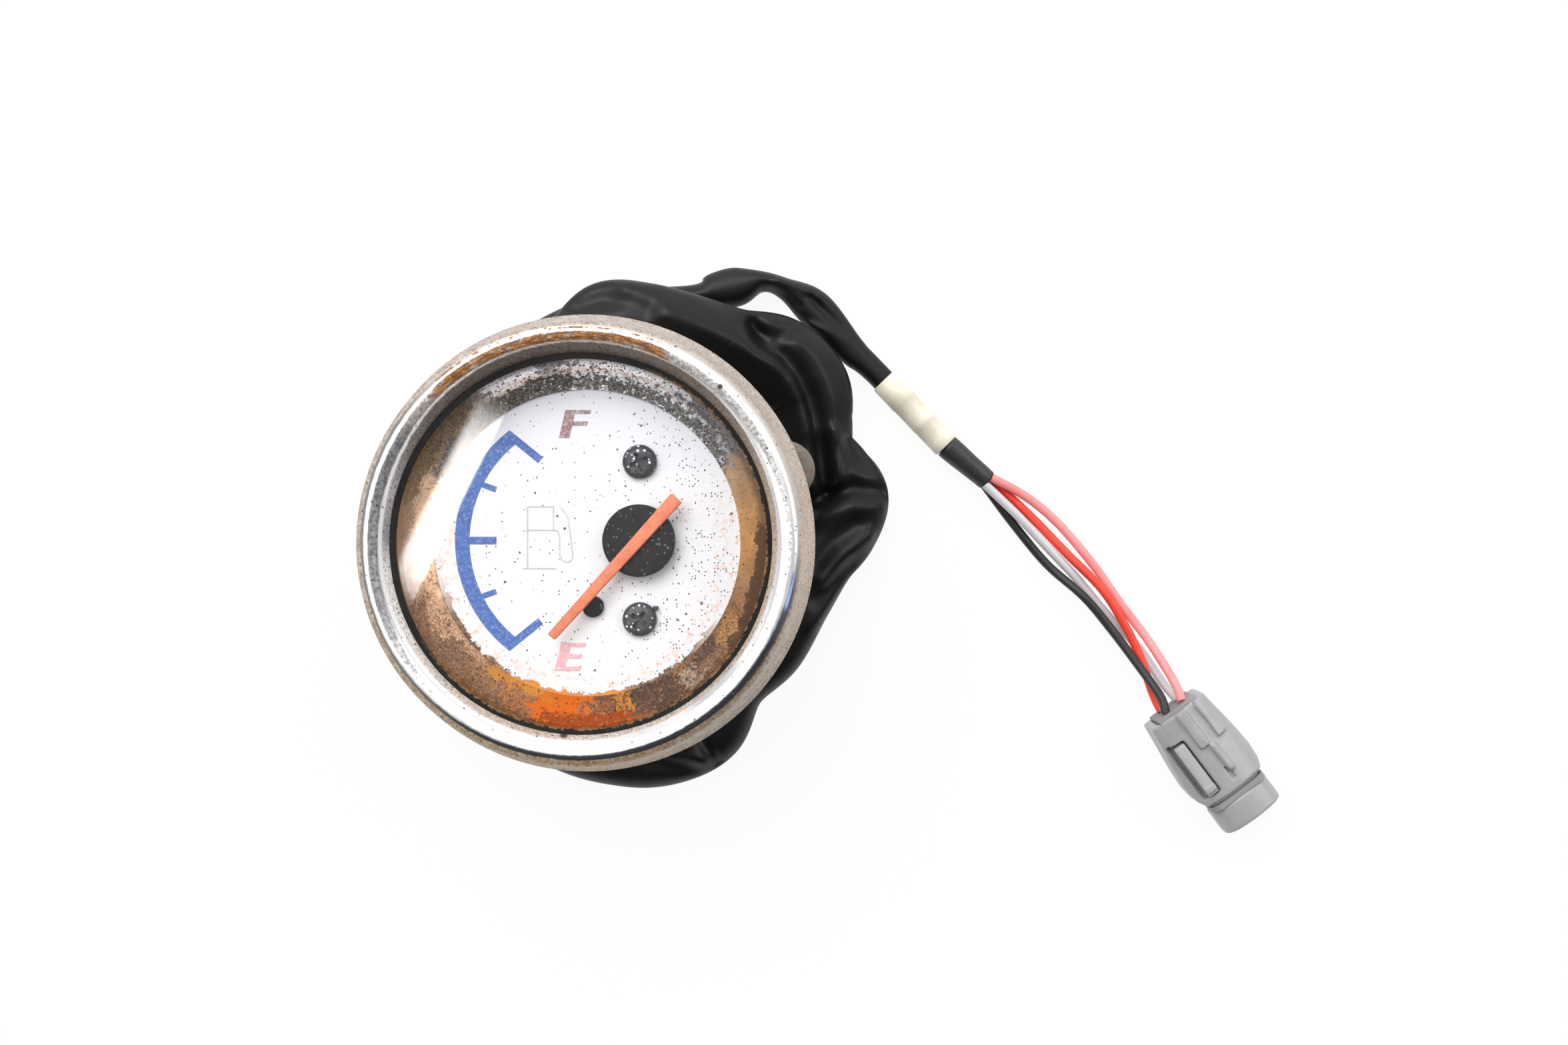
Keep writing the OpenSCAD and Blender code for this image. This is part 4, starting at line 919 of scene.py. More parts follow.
        # painted shade: outside the bare chrome the colour darkens towards the outer edge, under the gasket
        deep = net.span(ragged, 27.9, 30.0, 1.0, 0.42)
        color = net.mix(net.rest(chrome), color, net.tinted(color, deep))
        metal = net.most(chrome, net.times(smooth, 0.15))
        flecks = net.times(rust, net.span(net.noise(place, 0.9, 9.0, 0.8, 0.6), 0.55, 0.6), 0.75)
        color = net.mix(flecks, color, self.fleck)
        calm: Value = 0.0
        for blotch in self.blotches:
            along = net.mask(SECTOR, swayed, blotch.centre, blotch.half, blotch.soft)
            mask = net.times(along, net.ring(ragged, blotch.low, blotch.high, 0.35))
            mask = net.span(net.plus(mask, net.times(grain, blotch.torn)), 0.4, 0.6, 0.0, blotch.share)
            color = net.mix(mask, color, blotch.color)
            metal = net.blend(mask, metal, blotch.metal)
            if blotch.calm:
                calm = net.most(calm, net.times(mask, blotch.calm))
        rough_rust = net.times(rust, net.rest(calm))
        color = net.mix(rough_rust, color, net.tinted(color, net.span(fine, 0.42, 0.58, 0.62, 1.38)))
        # grit over the chrome, blots in the rust, specks everywhere
        spread = net.minus(net.noise(place, 1.5, 8.0, 0.78, 0.3), net.span(ragged, 26.8, 29.0, 0.0, 0.1))
        grit = net.times(chrome, net.span(spread, 0.46, 0.54))
        color = net.mix(grit, color, net.mix(net.span(fine, 0.44, 0.56), self.crumb, self.pale_crumb))
        blots = net.times(rough_rust, net.span(net.noise(place, 1.0, 9.0, 0.8, 0.9), 0.56, 0.61), 0.75)
        color = net.mix(blots, color, self.blot)
        dots = net.times(net.mask(SPECKS, place, 1.7, 0.55, 0.24), net.span(smooth, 0.0, 1.0, 0.85, 0.4))
        eaten = net.most(rust, grit, dots)
        relief = net.plus(net.times(eaten, torn), net.times(fine, 0.15))
        return {
            "Base Color": net.mix(dots, color, self.blot),
            "Metallic": net.times(metal, net.rest(net.most(grit, dots))),
            "Roughness": net.blend(
                eaten, net.blend(smooth, net.span(cloudy, 0.3, 0.7, 0.14, 0.26), 0.42), 0.8
            ),
            "Normal": net.bump(relief, 0.2),
        }


@dataclass(frozen=True)
class DialPaint(Finish):
    """White paint with specks, faint stains, and rust creeping in over the lower edge."""

    lavender: Color = (0.78, 0.77, 0.87)
    soot: Color = (0.06, 0.06, 0.07)
    stain: Color = (0.9, 0.42, 0.22)
    dark_rust: Color = (0.12, 0.07, 0.045)
    brown: Color = (0.42, 0.22, 0.1)
    orange: Color = (0.82, 0.27, 0.03)

    def look(self, net: Net, place: Socket) -> dict[str, Value]:
        """Lays tint, specks, stains and crept rust over the paint, as Finish.look does."""
        radius, angle, _ = net.use(POLAR, place)
        across, up, _ = net.parts(place)
        clouds = net.noise(place, 0.05, 3.0, 0.5)
        color = net.mix(net.span(clouds, 0.4, 0.65), self.color, self.shade)
        # painted shade: a darker lavender tint towards the top, where the bezel shades the dial
        color = net.mix(net.times(net.span(up, 0.004, 0.022), 0.45), color, self.lavender)
        # black specks, thickest to the right of the hub
        right = net.span(across, -0.004, 0.022, 0.25, 1.0)
        many = net.mask(SPECKS, place, 1.9, net.times(right, 0.55), 0.2)
        dots = net.most(many, net.mask(SPECKS, place, 0.8, net.times(right, 0.34), 0.12))
        color = net.mix(net.times(dots, 0.9), color, self.soot)
        # pale orange stains near the rim
        low = net.mask(SECTOR, angle, 275.0, 80.0, 40.0)
        stained = net.times(
            net.span(radius, 18.5, 25.5), low, net.span(net.noise(place, 0.9, 8.0, 0.8), 0.53, 0.6)
        )
        color = net.mix(net.times(stained, 0.85), color, self.stain)
        # rust that creeps in from the ring over the lower edge
        ragged = net.plus(radius, net.times(net.noise(place, 0.45, 8.0, 0.78, 0.6), 4.4))
        crept = net.times(net.mask(SECTOR, angle, 262.0, 48.0, 26.0), net.span(ragged, 27.1, 27.3))
        brown = net.mix(net.span(net.noise(place, 0.8, 6.0, 0.7), 0.42, 0.6), self.dark_rust, self.brown)
        brown = net.mix(net.mask(SECTOR, angle, 262.0, 18.0, 8.0), brown, self.orange)
        raised = net.most(crept, dots)
        return {
            "Base Color": net.mix(crept, color, brown),
            "Roughness": net.blend(raised, 0.55, 0.85),
            "Normal": net.bump(net.plus(net.times(raised, 0.8), net.times(clouds, 0.1)), 0.15),
        }


@dataclass(frozen=True)
class DirtyRubber(Finish):
    """Black rubber with rust dirt on the inner edge, over the right and the lower part of the ring."""

    dirt: Color = (0.26, 0.13, 0.06)
    dark_dirt: Color = (0.078, 0.039, 0.018)
    edge: float = 30.12

    def look(self, net: Net, place: Socket) -> dict[str, Value]:
        """Lays the dirt over plain rubber, as Finish.look does."""
        color, rough, fine = self.surface(net, place)
        radius, angle, _ = net.use(POLAR, place)
        crumbs = net.noise(place, 0.9, 8.0, 0.8)
        inside = net.span(net.shifted(radius, crumbs, 2.0), self.edge - 0.1, self.edge + 0.1, 0.85, 0.0)
        dirty = net.times(inside, net.mask(SECTOR, angle, 320.0, 90.0, 25.0))
        dirt = net.mix(net.span(crumbs, 0.46, 0.54), self.dirt, self.dark_dirt)
        return {
            "Base Color": net.mix(dirty, color, dirt), "Roughness": rough,
            "Normal": net.bump(fine, self.grain_depth),
        }


@dataclass(frozen=True)
class FadedPrint(Finish):
    """Printed mark, unevenly faded, with one colour on its upper half and another on its lower."""

    lower: Color = (0.7, 0.4, 0.42)
    paper: Color = (0.84, 0.83, 0.88)
    loss: float = 0.35

    def look(self, net: Net, place: Socket) -> dict[str, Value]:
        """Fades the print, as Finish.look does."""
        half = net.span(net.parts(place)[1], -0.005, 0.005)
        upper = net.mix(net.span(net.noise(place, 0.4, 3.0, 0.6), 0.4, 0.6), self.color, self.shade)
        worn = net.span(net.noise(place, 1.6, 6.0, 0.7), 0.45, 0.75, 0.0, self.loss)
        return {
            "Base Color": net.mix(worn, net.mix(half, self.lower, upper), self.paper),
            "Roughness": net.span(worn, 0.0, 1.0, 0.5, 0.7),
            "Normal": net.bump(worn, 0.02),
        }


@dataclass(frozen=True)
class Threaded(Finish):
    """Plated steel with the ridges of a thread along its height."""

    pitch: float = 0.8
    shank: Row = (6.6, 7.2)

    def look(self, net: Net, place: Socket) -> dict[str, Value]:
        """Cuts the thread into plain steel, as Finish.look does."""
        color, rough, fine = self.surface(net, place)
        height = net.use(POLAR, place)[2]
        ridge = net.math("SINE", net.times(height, math.tau / self.pitch))
        thread = net.bump(net.times(ridge, net.span(height, *self.shank, 1.0, 0.0)), 0.25)
        return {"Base Color": color, "Roughness": rough, "Normal": net.bump(fine, self.grain_depth, thread)}


FINISHES: dict[str, Finish] = {
    "bezel": BezelChrome("bezel_chrome", (0.97, 0.97, 0.97), (0.97, 0.97, 0.97), metallic=1.0),
    "rubber": DirtyRubber(
        "gasket_rubber", (0.008, 0.008, 0.008), (0.014, 0.013, 0.012), 0.75, dust=0.15,
        dust_color=(0.06, 0.05, 0.04), specular=0.2
    ),
    "glass": ClearGlass("lens_glass", (0.97, 0.975, 0.98), (1.0, 1.0, 1.0), 0.0, ior=1.3),
    "cove": CorrodedRing("trim_ring", (0.85, 0.84, 0.84), (0.7, 0.7, 0.7), metallic=1.0, specular=0.05),
    "dial": DialPaint("dial_paint", (0.88, 0.88, 0.89), (0.83, 0.82, 0.85), 0.55),
    "blue": FadedPrint(
        "scale_blue", (0.025, 0.09, 0.36), (0.04, 0.13, 0.42), lower=(0.035, 0.12, 0.42), loss=0.3
    ),
    "letters": FadedPrint(
        "letter_red", (0.26, 0.12, 0.13), (0.32, 0.26, 0.25), lower=(0.78, 0.42, 0.46), loss=0.75
    ),
    "mark": FadedPrint(
        "pump_grey", (0.5, 0.51, 0.52), (0.62, 0.62, 0.64), lower=(0.52, 0.52, 0.53), loss=0.5
    ),
    "screw": Finish(
        "dusty_black_steel", (0.035, 0.036, 0.04), (0.06, 0.06, 0.065), 0.5, 0.5, dust=0.3,
        dust_color=(0.2, 0.2, 0.21), dust_scale=1.4, spots=0.75, spot_color=(0.85, 0.85, 0.87),
        spot_scale=1.1, grain_depth=0.05,
    ),
    "hub": Finish(
        "hub_plastic", (0.009, 0.009, 0.01), (0.013, 0.013, 0.014), 0.65, dust=0.2,
        dust_color=(0.024, 0.024, 0.023), dust_scale=2.2, spots=0.8, spot_color=(0.15, 0.145, 0.14),
        spot_scale=1.4, grain_depth=0.05, specular=0.2,
    ),
    "needle": Finish(
        "needle_orange", (0.66, 0.16, 0.07), (0.72, 0.22, 0.11), 0.55, uneven=0.5, dust=0.18,
        dust_color=(0.9, 0.5, 0.38), dust_scale=1.4
    ),
    "steel": Finish(
        "zinc_steel", (0.46, 0.45, 0.42), (0.34, 0.32, 0.28), 0.38, 1.0, dust=0.25,
        dust_color=(0.2, 0.12, 0.07)
    ),
    "thread": Threaded("threaded_steel", (0.46, 0.45, 0.42), (0.34, 0.32, 0.28), 0.38, 1.0),
    "magnet": Finish("magnet", (0.04, 0.04, 0.042), (0.06, 0.06, 0.06), 0.6, 0.5),
    "brass": Finish("brass", (0.56, 0.38, 0.13), (0.42, 0.27, 0.09), 0.35, 1.0),
    "ivory": Finish("ivory_plastic", (0.68, 0.63, 0.52), (0.6, 0.55, 0.44), 0.5),
    "copper": Finish(
        "copper_wire", (0.5, 0.17, 0.06), (0.36, 0.1, 0.03), 0.35, 0.9, grain=9.0, grain_depth=0.06
    ),
    "board": Finish("board", (0.2, 0.12, 0.045), (0.14, 0.08, 0.03), 0.5, grain=6.0),
    "ceramic": Finish(
        "ceramic", (0.62, 0.55, 0.43), (0.55, 0.48, 0.36), 0.7, spots=0.2, spot_color=(0.3, 0.22, 0.15)
    ),
    "lamp": ClearGlass("lamp_glass", (0.95, 0.93, 0.85), (1.0, 1.0, 1.0), 0.05),
    "case": Finish(
        "case_steel", (0.2, 0.185, 0.165), (0.13, 0.115, 0.1), 0.5, 0.55, dust=0.35,
        dust_color=(0.3, 0.17, 0.09), dust_scale=0.5, spots=0.25, spot_color=(0.12, 0.06, 0.03),
    ),
    "vinyl": Finish(
        "sheath_vinyl", (0.005, 0.005, 0.0055), (0.008, 0.008, 0.0085), 0.42, uneven=0.06, grain=1.2,
        grain_depth=0.012, dust=0.1, dust_color=(0.02, 0.02, 0.021), dust_scale=0.35, specular=0.46,
        ior=1.36,
    ),
    "tape": Finish(
        "ivory_tape", (0.8, 0.77, 0.66), (0.72, 0.67, 0.53), 0.42, uneven=0.2, grain=1.0, grain_depth=0.05,
        dust=0.1, dust_color=(0.6, 0.54, 0.42)
    ),
    "sleeve": Finish(
        "shrink_sleeve", (0.016, 0.016, 0.018), (0.024, 0.024, 0.026), 0.42, grain=0.8, grain_depth=0.12
    ),
    "black_wire": Finish("black_wire", (0.014, 0.014, 0.016), (0.02, 0.02, 0.022), 0.35),
    "white_wire": Finish("white_wire", (0.62, 0.62, 0.64), (0.56, 0.56, 0.58), 0.35),
    "red_wire": Finish("red_wire", (0.86, 0.06, 0.03), (0.8, 0.045, 0.02), 0.35),
    "pink_wire": Finish("pink_wire", (0.9, 0.3, 0.3), (0.88, 0.24, 0.24), 0.35),
    "connector": Finish(
        "connector_grey", (0.35, 0.35, 0.355), (0.33, 0.33, 0.335), 0.34, uneven=0.3, grain=0.7,
        grain_depth=0.05,
    ),
    "seal": Finish("seal_rubber", (0.27, 0.27, 0.275), (0.22, 0.22, 0.225), 0.6),
}

# CAD nodes that keep their own shape, by finish
NODE_FINISHES: dict[str, Sequence[str]] = {
    "rubber": ("lens_gasket", "case_gasket"), "dial": ("dial_plate",), "blue": ("dial_scale",),
    "letters": ("dial_letters",), "mark": ("dial_pump_mark",), "magnet": ("rotor_magnet",),
    "steel": ("rotor_shaft", "stop_plate", "shield_can", "movement_screws"), "thread": ("case_studs",),
    "brass": (
        "stop_arm", "upper_bush", "lower_bearing", "board_pins", "lamp_contacts", "connector_terminals"
    ),
    "ivory": ("bobbin_upper", "bobbin_lower", "movement_frame"), "copper": ("coil_a", "coil_b"),
    "board": ("movement_board",), "ceramic": ("ballast_resistor",), "lamp": ("lamp_bulb",),
    "red_wire": ("inner_leads",), "seal": ("nose_seal",),
}

_materials: dict[str, bpy.types.Material] = {}


def finish_material(key: str) -> bpy.types.Material:
    """The material of a finish, built on first use."""
    if key not in _materials:
        _materials[key] = FINISHES[key].material()
    return _materials[key]


def dress(obj: bpy.types.Object, key: str) -> None:
    """Gives an object one finish all over."""
    obj.data.materials.clear()
    obj.data.materials.append(finish_material(key))


def place_piece(obj: bpy.types.Object, key: str, slot: str, body: Body, *nodes: str) -> bpy.types.Object:
    """Finishes a piece: its material, its body and the CAD nodes that it stands for, which it hides.

    Args:
        obj: The piece, at the origin.
        key: The finish's key.
        slot: The record's material slot. Not used.
        body: The CAD body that it rides on.
        nodes: CAD nodes that it replaces.

    Returns:
        The piece.
    """
    dress(obj, key)
    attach(obj, body.value)
    if nodes:
        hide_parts(*nodes)
    log.info("%s: %d faces, stands for %s", obj.name, len(obj.data.polygons), ", ".join(nodes) or "nothing")
    return obj


def spun(
    name: str, rows: Sequence[Row], steps: int, angle: float, key: str, slot: str, node: str,
    body: Body = Body.GAUGE, **how: object,
) -> bpy.types.Object:
    """Spins a piece that stands for one CAD node.

    Args:
        name: The piece's name.
        rows: Its profile as radius and height, in millimetres.
        steps: How many segments go round.
        angle: Edges sharper than this, in degrees, stay sharp.
        key: The finish's key.
        slot: The record's material slot.
        node: The CAD node that it replaces.
        body: The CAD body that it rides on.
        how: Centre and closed, as Bench.turned takes them.

    Returns:
        The piece.
    """
    obj = Bench.turned(name, rows, steps, **how)
    Bench.smooth(obj, angle)
    return place_piece(obj, key, slot, body, node)


def rounded(
    node: str, width: float, segments: int, key: str, slot: str, body: Body = Body.GAUGE
) -> bpy.types.Object:
    """Makes a piece of a CAD node with its sharp edges rounded.

    Args:
        node: The CAD node's name.
        width: Radius of the edges, in millimetres.
        segments: Steps in each rounded edge.
        key: The finish's key.
        slot: The record's material slot.
        body: The CAD body that it rides on.

    Returns:
        The piece.
    """
    obj = Bench.softened(node, width, segments)
    Bench.smooth(obj)
    return place_piece(obj, key, slot, body, node)


# Studio


@dataclass(frozen=True)
class Lamp:
    """One rectangular lamp, in metres.

    Attributes:
        name: The lamp's name.
        at: Its place.
        toward: The point that it faces.
        size: Its two sides.
        power: Its power in watts.
        turn: Turn about its own axis, in degrees.
        soft: Shares of its sides over which it fades out: left, right and both ends.
    """

    name: str
    at: Row
    toward: Row
    size: Row
    power: float
    turn: float = 0.0
    soft: Row | None = None

    def fade_out(self, data: bpy.types.AreaLight) -> None:
        """Fades the lamp's light towards its sides."""
        data.use_nodes = True
        net = Net(data.node_tree)
        across, along, _ = net.parts(net.node("NewGeometry").outputs["Parametric"])
        left, right, ends = self.soft
        shares = [
            net.span(across, 0.0, left), net.span(across, 1.0 - right, 1.0, 1.0, 0.0),
            net.span(along, 0.0, ends), net.span(along, 1.0 - ends, 1.0, 1.0, 0.0),
        ]
        glow = next(node for node in data.node_tree.nodes if node.type == "EMISSION")
        net.fill(glow, Strength=net.times(*shares))

    def build(self) -> None:
        """Hangs the lamp."""
        data = bpy.data.lights.new(self.name, "AREA")
        data.shape = "RECTANGLE"
        data.size, data.size_y = self.size
        data.energy = self.power
        if self.soft:
            self.fade_out(data)
        lamp = bpy.data.objects.new(self.name, data)
        lamp.visible_camera = False
        aim = (Vector(self.toward) - Vector(self.at)).to_track_quat("-Z", "Y").to_matrix().to_4x4()
        turned = Matrix.Rotation(math.radians(self.turn), 4, "Z")
        lamp.matrix_world = Matrix.Translation(self.at) @ aim @ turned
        bpy.context.scene.collection.objects.link(lamp)


@dataclass
class Studio:
    """White table, light tent, lamps and the camera over them, in metres.

    Attributes:
        eye: The camera's place.
        focal_px: Its focal length, in pixels of the photo.
        frame_px: The photo's width, in pixels.
        sensor_mm: Width of the camera's sensor.
        table_size: Side of the table.
        table_z: Its height, just under the part.
        table_color: Its colour.
        table_glow: Share of plain white in what is seen of it.
        tent_r: Radius of the tent.
        tent_foot: Height of its lower edge.
        tent_power: How strongly it shines.
        bright_side: Direction of its bright side.
        tent_levels: Its light from the dim side to the bright one.
        dark_spot: Middle of the dark spot overhead.
        dark_reach: Radii between which the dark spot ends.
        dark_color: Its colour.
        lamps: The lamps.
    """

    eye: Row = (0.0328, 0.0034, 0.324)
    focal_px: float = 2520.0
    frame_px: float = 2352.0
    sensor_mm: float = 36.0
    table_size: float = 3.0
    table_z: float = -0.0002
    table_color: Color = (0.92, 0.92, 0.92)
    table_glow: float = 0.93
    tent_r: float = 1.4
    tent_foot: float = 0.002
    tent_power: float = 1.55
    bright_side: Row = (-0.45, 0.89, 0.0)
    tent_levels: Stops = (
        (0.05, (0.03, 0.03, 0.03)), (0.275, (0.17, 0.16, 0.15)), (0.47, (0.24, 0.23, 0.22)),
        (0.55, (0.85, 0.85, 0.85)), (1.0, (1.0, 1.0, 1.0)),
    )
    dark_spot: Row = (-0.163, -0.017, 1.39)
    dark_reach: Row = (0.235, 0.26)
    dark_color: Color = (0.16, 0.16, 0.16)
    lamps: Sequence[Lamp] = (
        Lamp("key", (-0.22, 0.45, 0.82), (0.0, 0.0, 0.04), (0.6, 0.5), 4.7),
        Lamp("fill", (0.75, 0.2, 0.6), (0.0, 0.0, 0.04), (0.4, 0.4), 2.0),
        Lamp(
            "strip", (-0.124, 0.013, 0.552), (-0.124, 0.013, 0.0), (0.0165, 0.11), 0.23, -26.2,
            (0.35, 0.05, 0.3)
        ),
    )

    def camera(self) -> None:
        """Sets the camera straight over the table."""
        data = bpy.data.cameras.new("camera")
        data.sensor_fit = "HORIZONTAL"
        data.sensor_width = self.sensor_mm
        data.lens = self.focal_px / self.frame_px * self.sensor_mm
        data.clip_start = 0.01
        eye = bpy.data.objects.new("camera", data)
        eye.location = self.eye
        bpy.context.scene.collection.objects.link(eye)
        bpy.context.scene.camera = eye

    def table(self) -> None:
        """Makes the pale table, which shows white but keeps a light shadow."""
        Bench.clear()
        bpy.ops.mesh.primitive_plane_add(size=self.table_size, location=(0.0, 0.0, self.table_z))
        table = bpy.context.object
        table.name = "table"
        material = bpy.data.materials.new("table_white")
        net = emptied(material)
        path = net.node("LightPath").outputs
        seen = net.most(path["Is Camera Ray"], path["Is Transmission Ray"], path["Is Glossy Ray"])
        matt = net.fill(net.node("BsdfDiffuse"), self.table_color).outputs[0]
        net.show(net.mix_shaders(net.times(seen, self.table_glow), matt, net.node("Emission").outputs[0]))
        table.data.materials.append(material)

    def world(self) -> None:
        """Sets the plain white surroundings."""
        world = bpy.data.worlds.new("surroundings")
        bpy.context.scene.world = world
        net = emptied(world)
        net.show(net.fill(net.node("Background"), (1.0, 1.0, 1.0)).outputs[0], "OutputWorld")

    def tent(self) -> None:
        """Sets a light tent: bright to the north and west, dim to the south, dark where the camera hangs."""
        Bench.clear()
        bpy.ops.mesh.primitive_uv_sphere_add(segments=64, ring_count=32, radius=self.tent_r)
        tent = bpy.context.object
        tent.name = "light_tent"
        bpy.ops.object.mode_set(mode="EDIT")
        bpy.ops.mesh.select_all(action="SELECT")
        bpy.ops.mesh.bisect(plane_co=(0.0, 0.0, self.tent_foot), plane_no=(0.0, 0.0, 1.0), clear_inner=True)
        bpy.ops.mesh.select_all(action="SELECT")
        bpy.ops.mesh.flip_normals()
        Bench.clear()
        Bench.smooth(tent)
        material = bpy.data.materials.new("tent_cloth")
        net = emptied(material)
        material.cycles.emission_sampling = "NONE"
        place = net.coords()
        toward = net.fill(net.node("VectorMath", operation="DOT_PRODUCT"), place)
        toward.inputs[1].default_value = Vector(self.bright_side).normalized() / self.tent_r
        sky = net.ramp(net.math("MULTIPLY_ADD", toward.outputs["Value"], 0.5), self.tent_levels)
        lit = net.span(net.away(place, self.dark_spot), *self.dark_reach)
        glow = net.fill(net.node("Emission"), net.mix(lit, self.dark_color, sky), self.tent_power)
        net.show(glow.outputs[0])
        tent.data.materials.append(material)
        tent.visible_camera = tent.visible_transmission = False

    def build(self) -> None:
        """Builds the studio."""
        bpy.context.scene.view_settings.view_transform = "Standard"
        self.camera()
        self.table()
        self.world()
        self.tent()
        for lamp in self.lamps:
            lamp.build()


# Harness


@dataclass(frozen=True)
class Crease:
    """A ridge or a crease in the sheath, seen from above, in millimetres.

    Attributes:
        line: Where it runs, as rows of x and y.
        rise: How high it stands. A crease has a negative rise.
        left: Its half width on the left.
        right: Its half width on the right.
        first: Station of the sheath at which it acts fully.
        last: Last station at which it does.
    """

    line: Sequence[Row]
    rise: float
    left: float
    right: float
    first: float
    last: float

    def reach(self, station: float) -> float:
        """How fully it acts at a station of the sheath."""
        return fade(self.first - 1.0, self.first, station) * fade(-self.last - 1.0, -self.last, -station)

    def at(self, spot: Vector) -> float:
        """How far it raises the sheath at a spot."""
        best, side = 1e9, 1.0
        for a, b in zip(self.line, self.line[1:]):
            start, way = Vector(a), Vector(b) - Vector(a)
            share = min(max((spot - start).dot(way) / way.length_squared, 0.0), 1.0)
            off = spot - start - way * share
            if off.length < best:
                best, side = off.length, way.x * off.y - way.y * off.x
        width = self.left if side > 0 else self.right
        return self.rise * math.exp(-((best / width) ** 2)) if best < 3 * width else 0.0


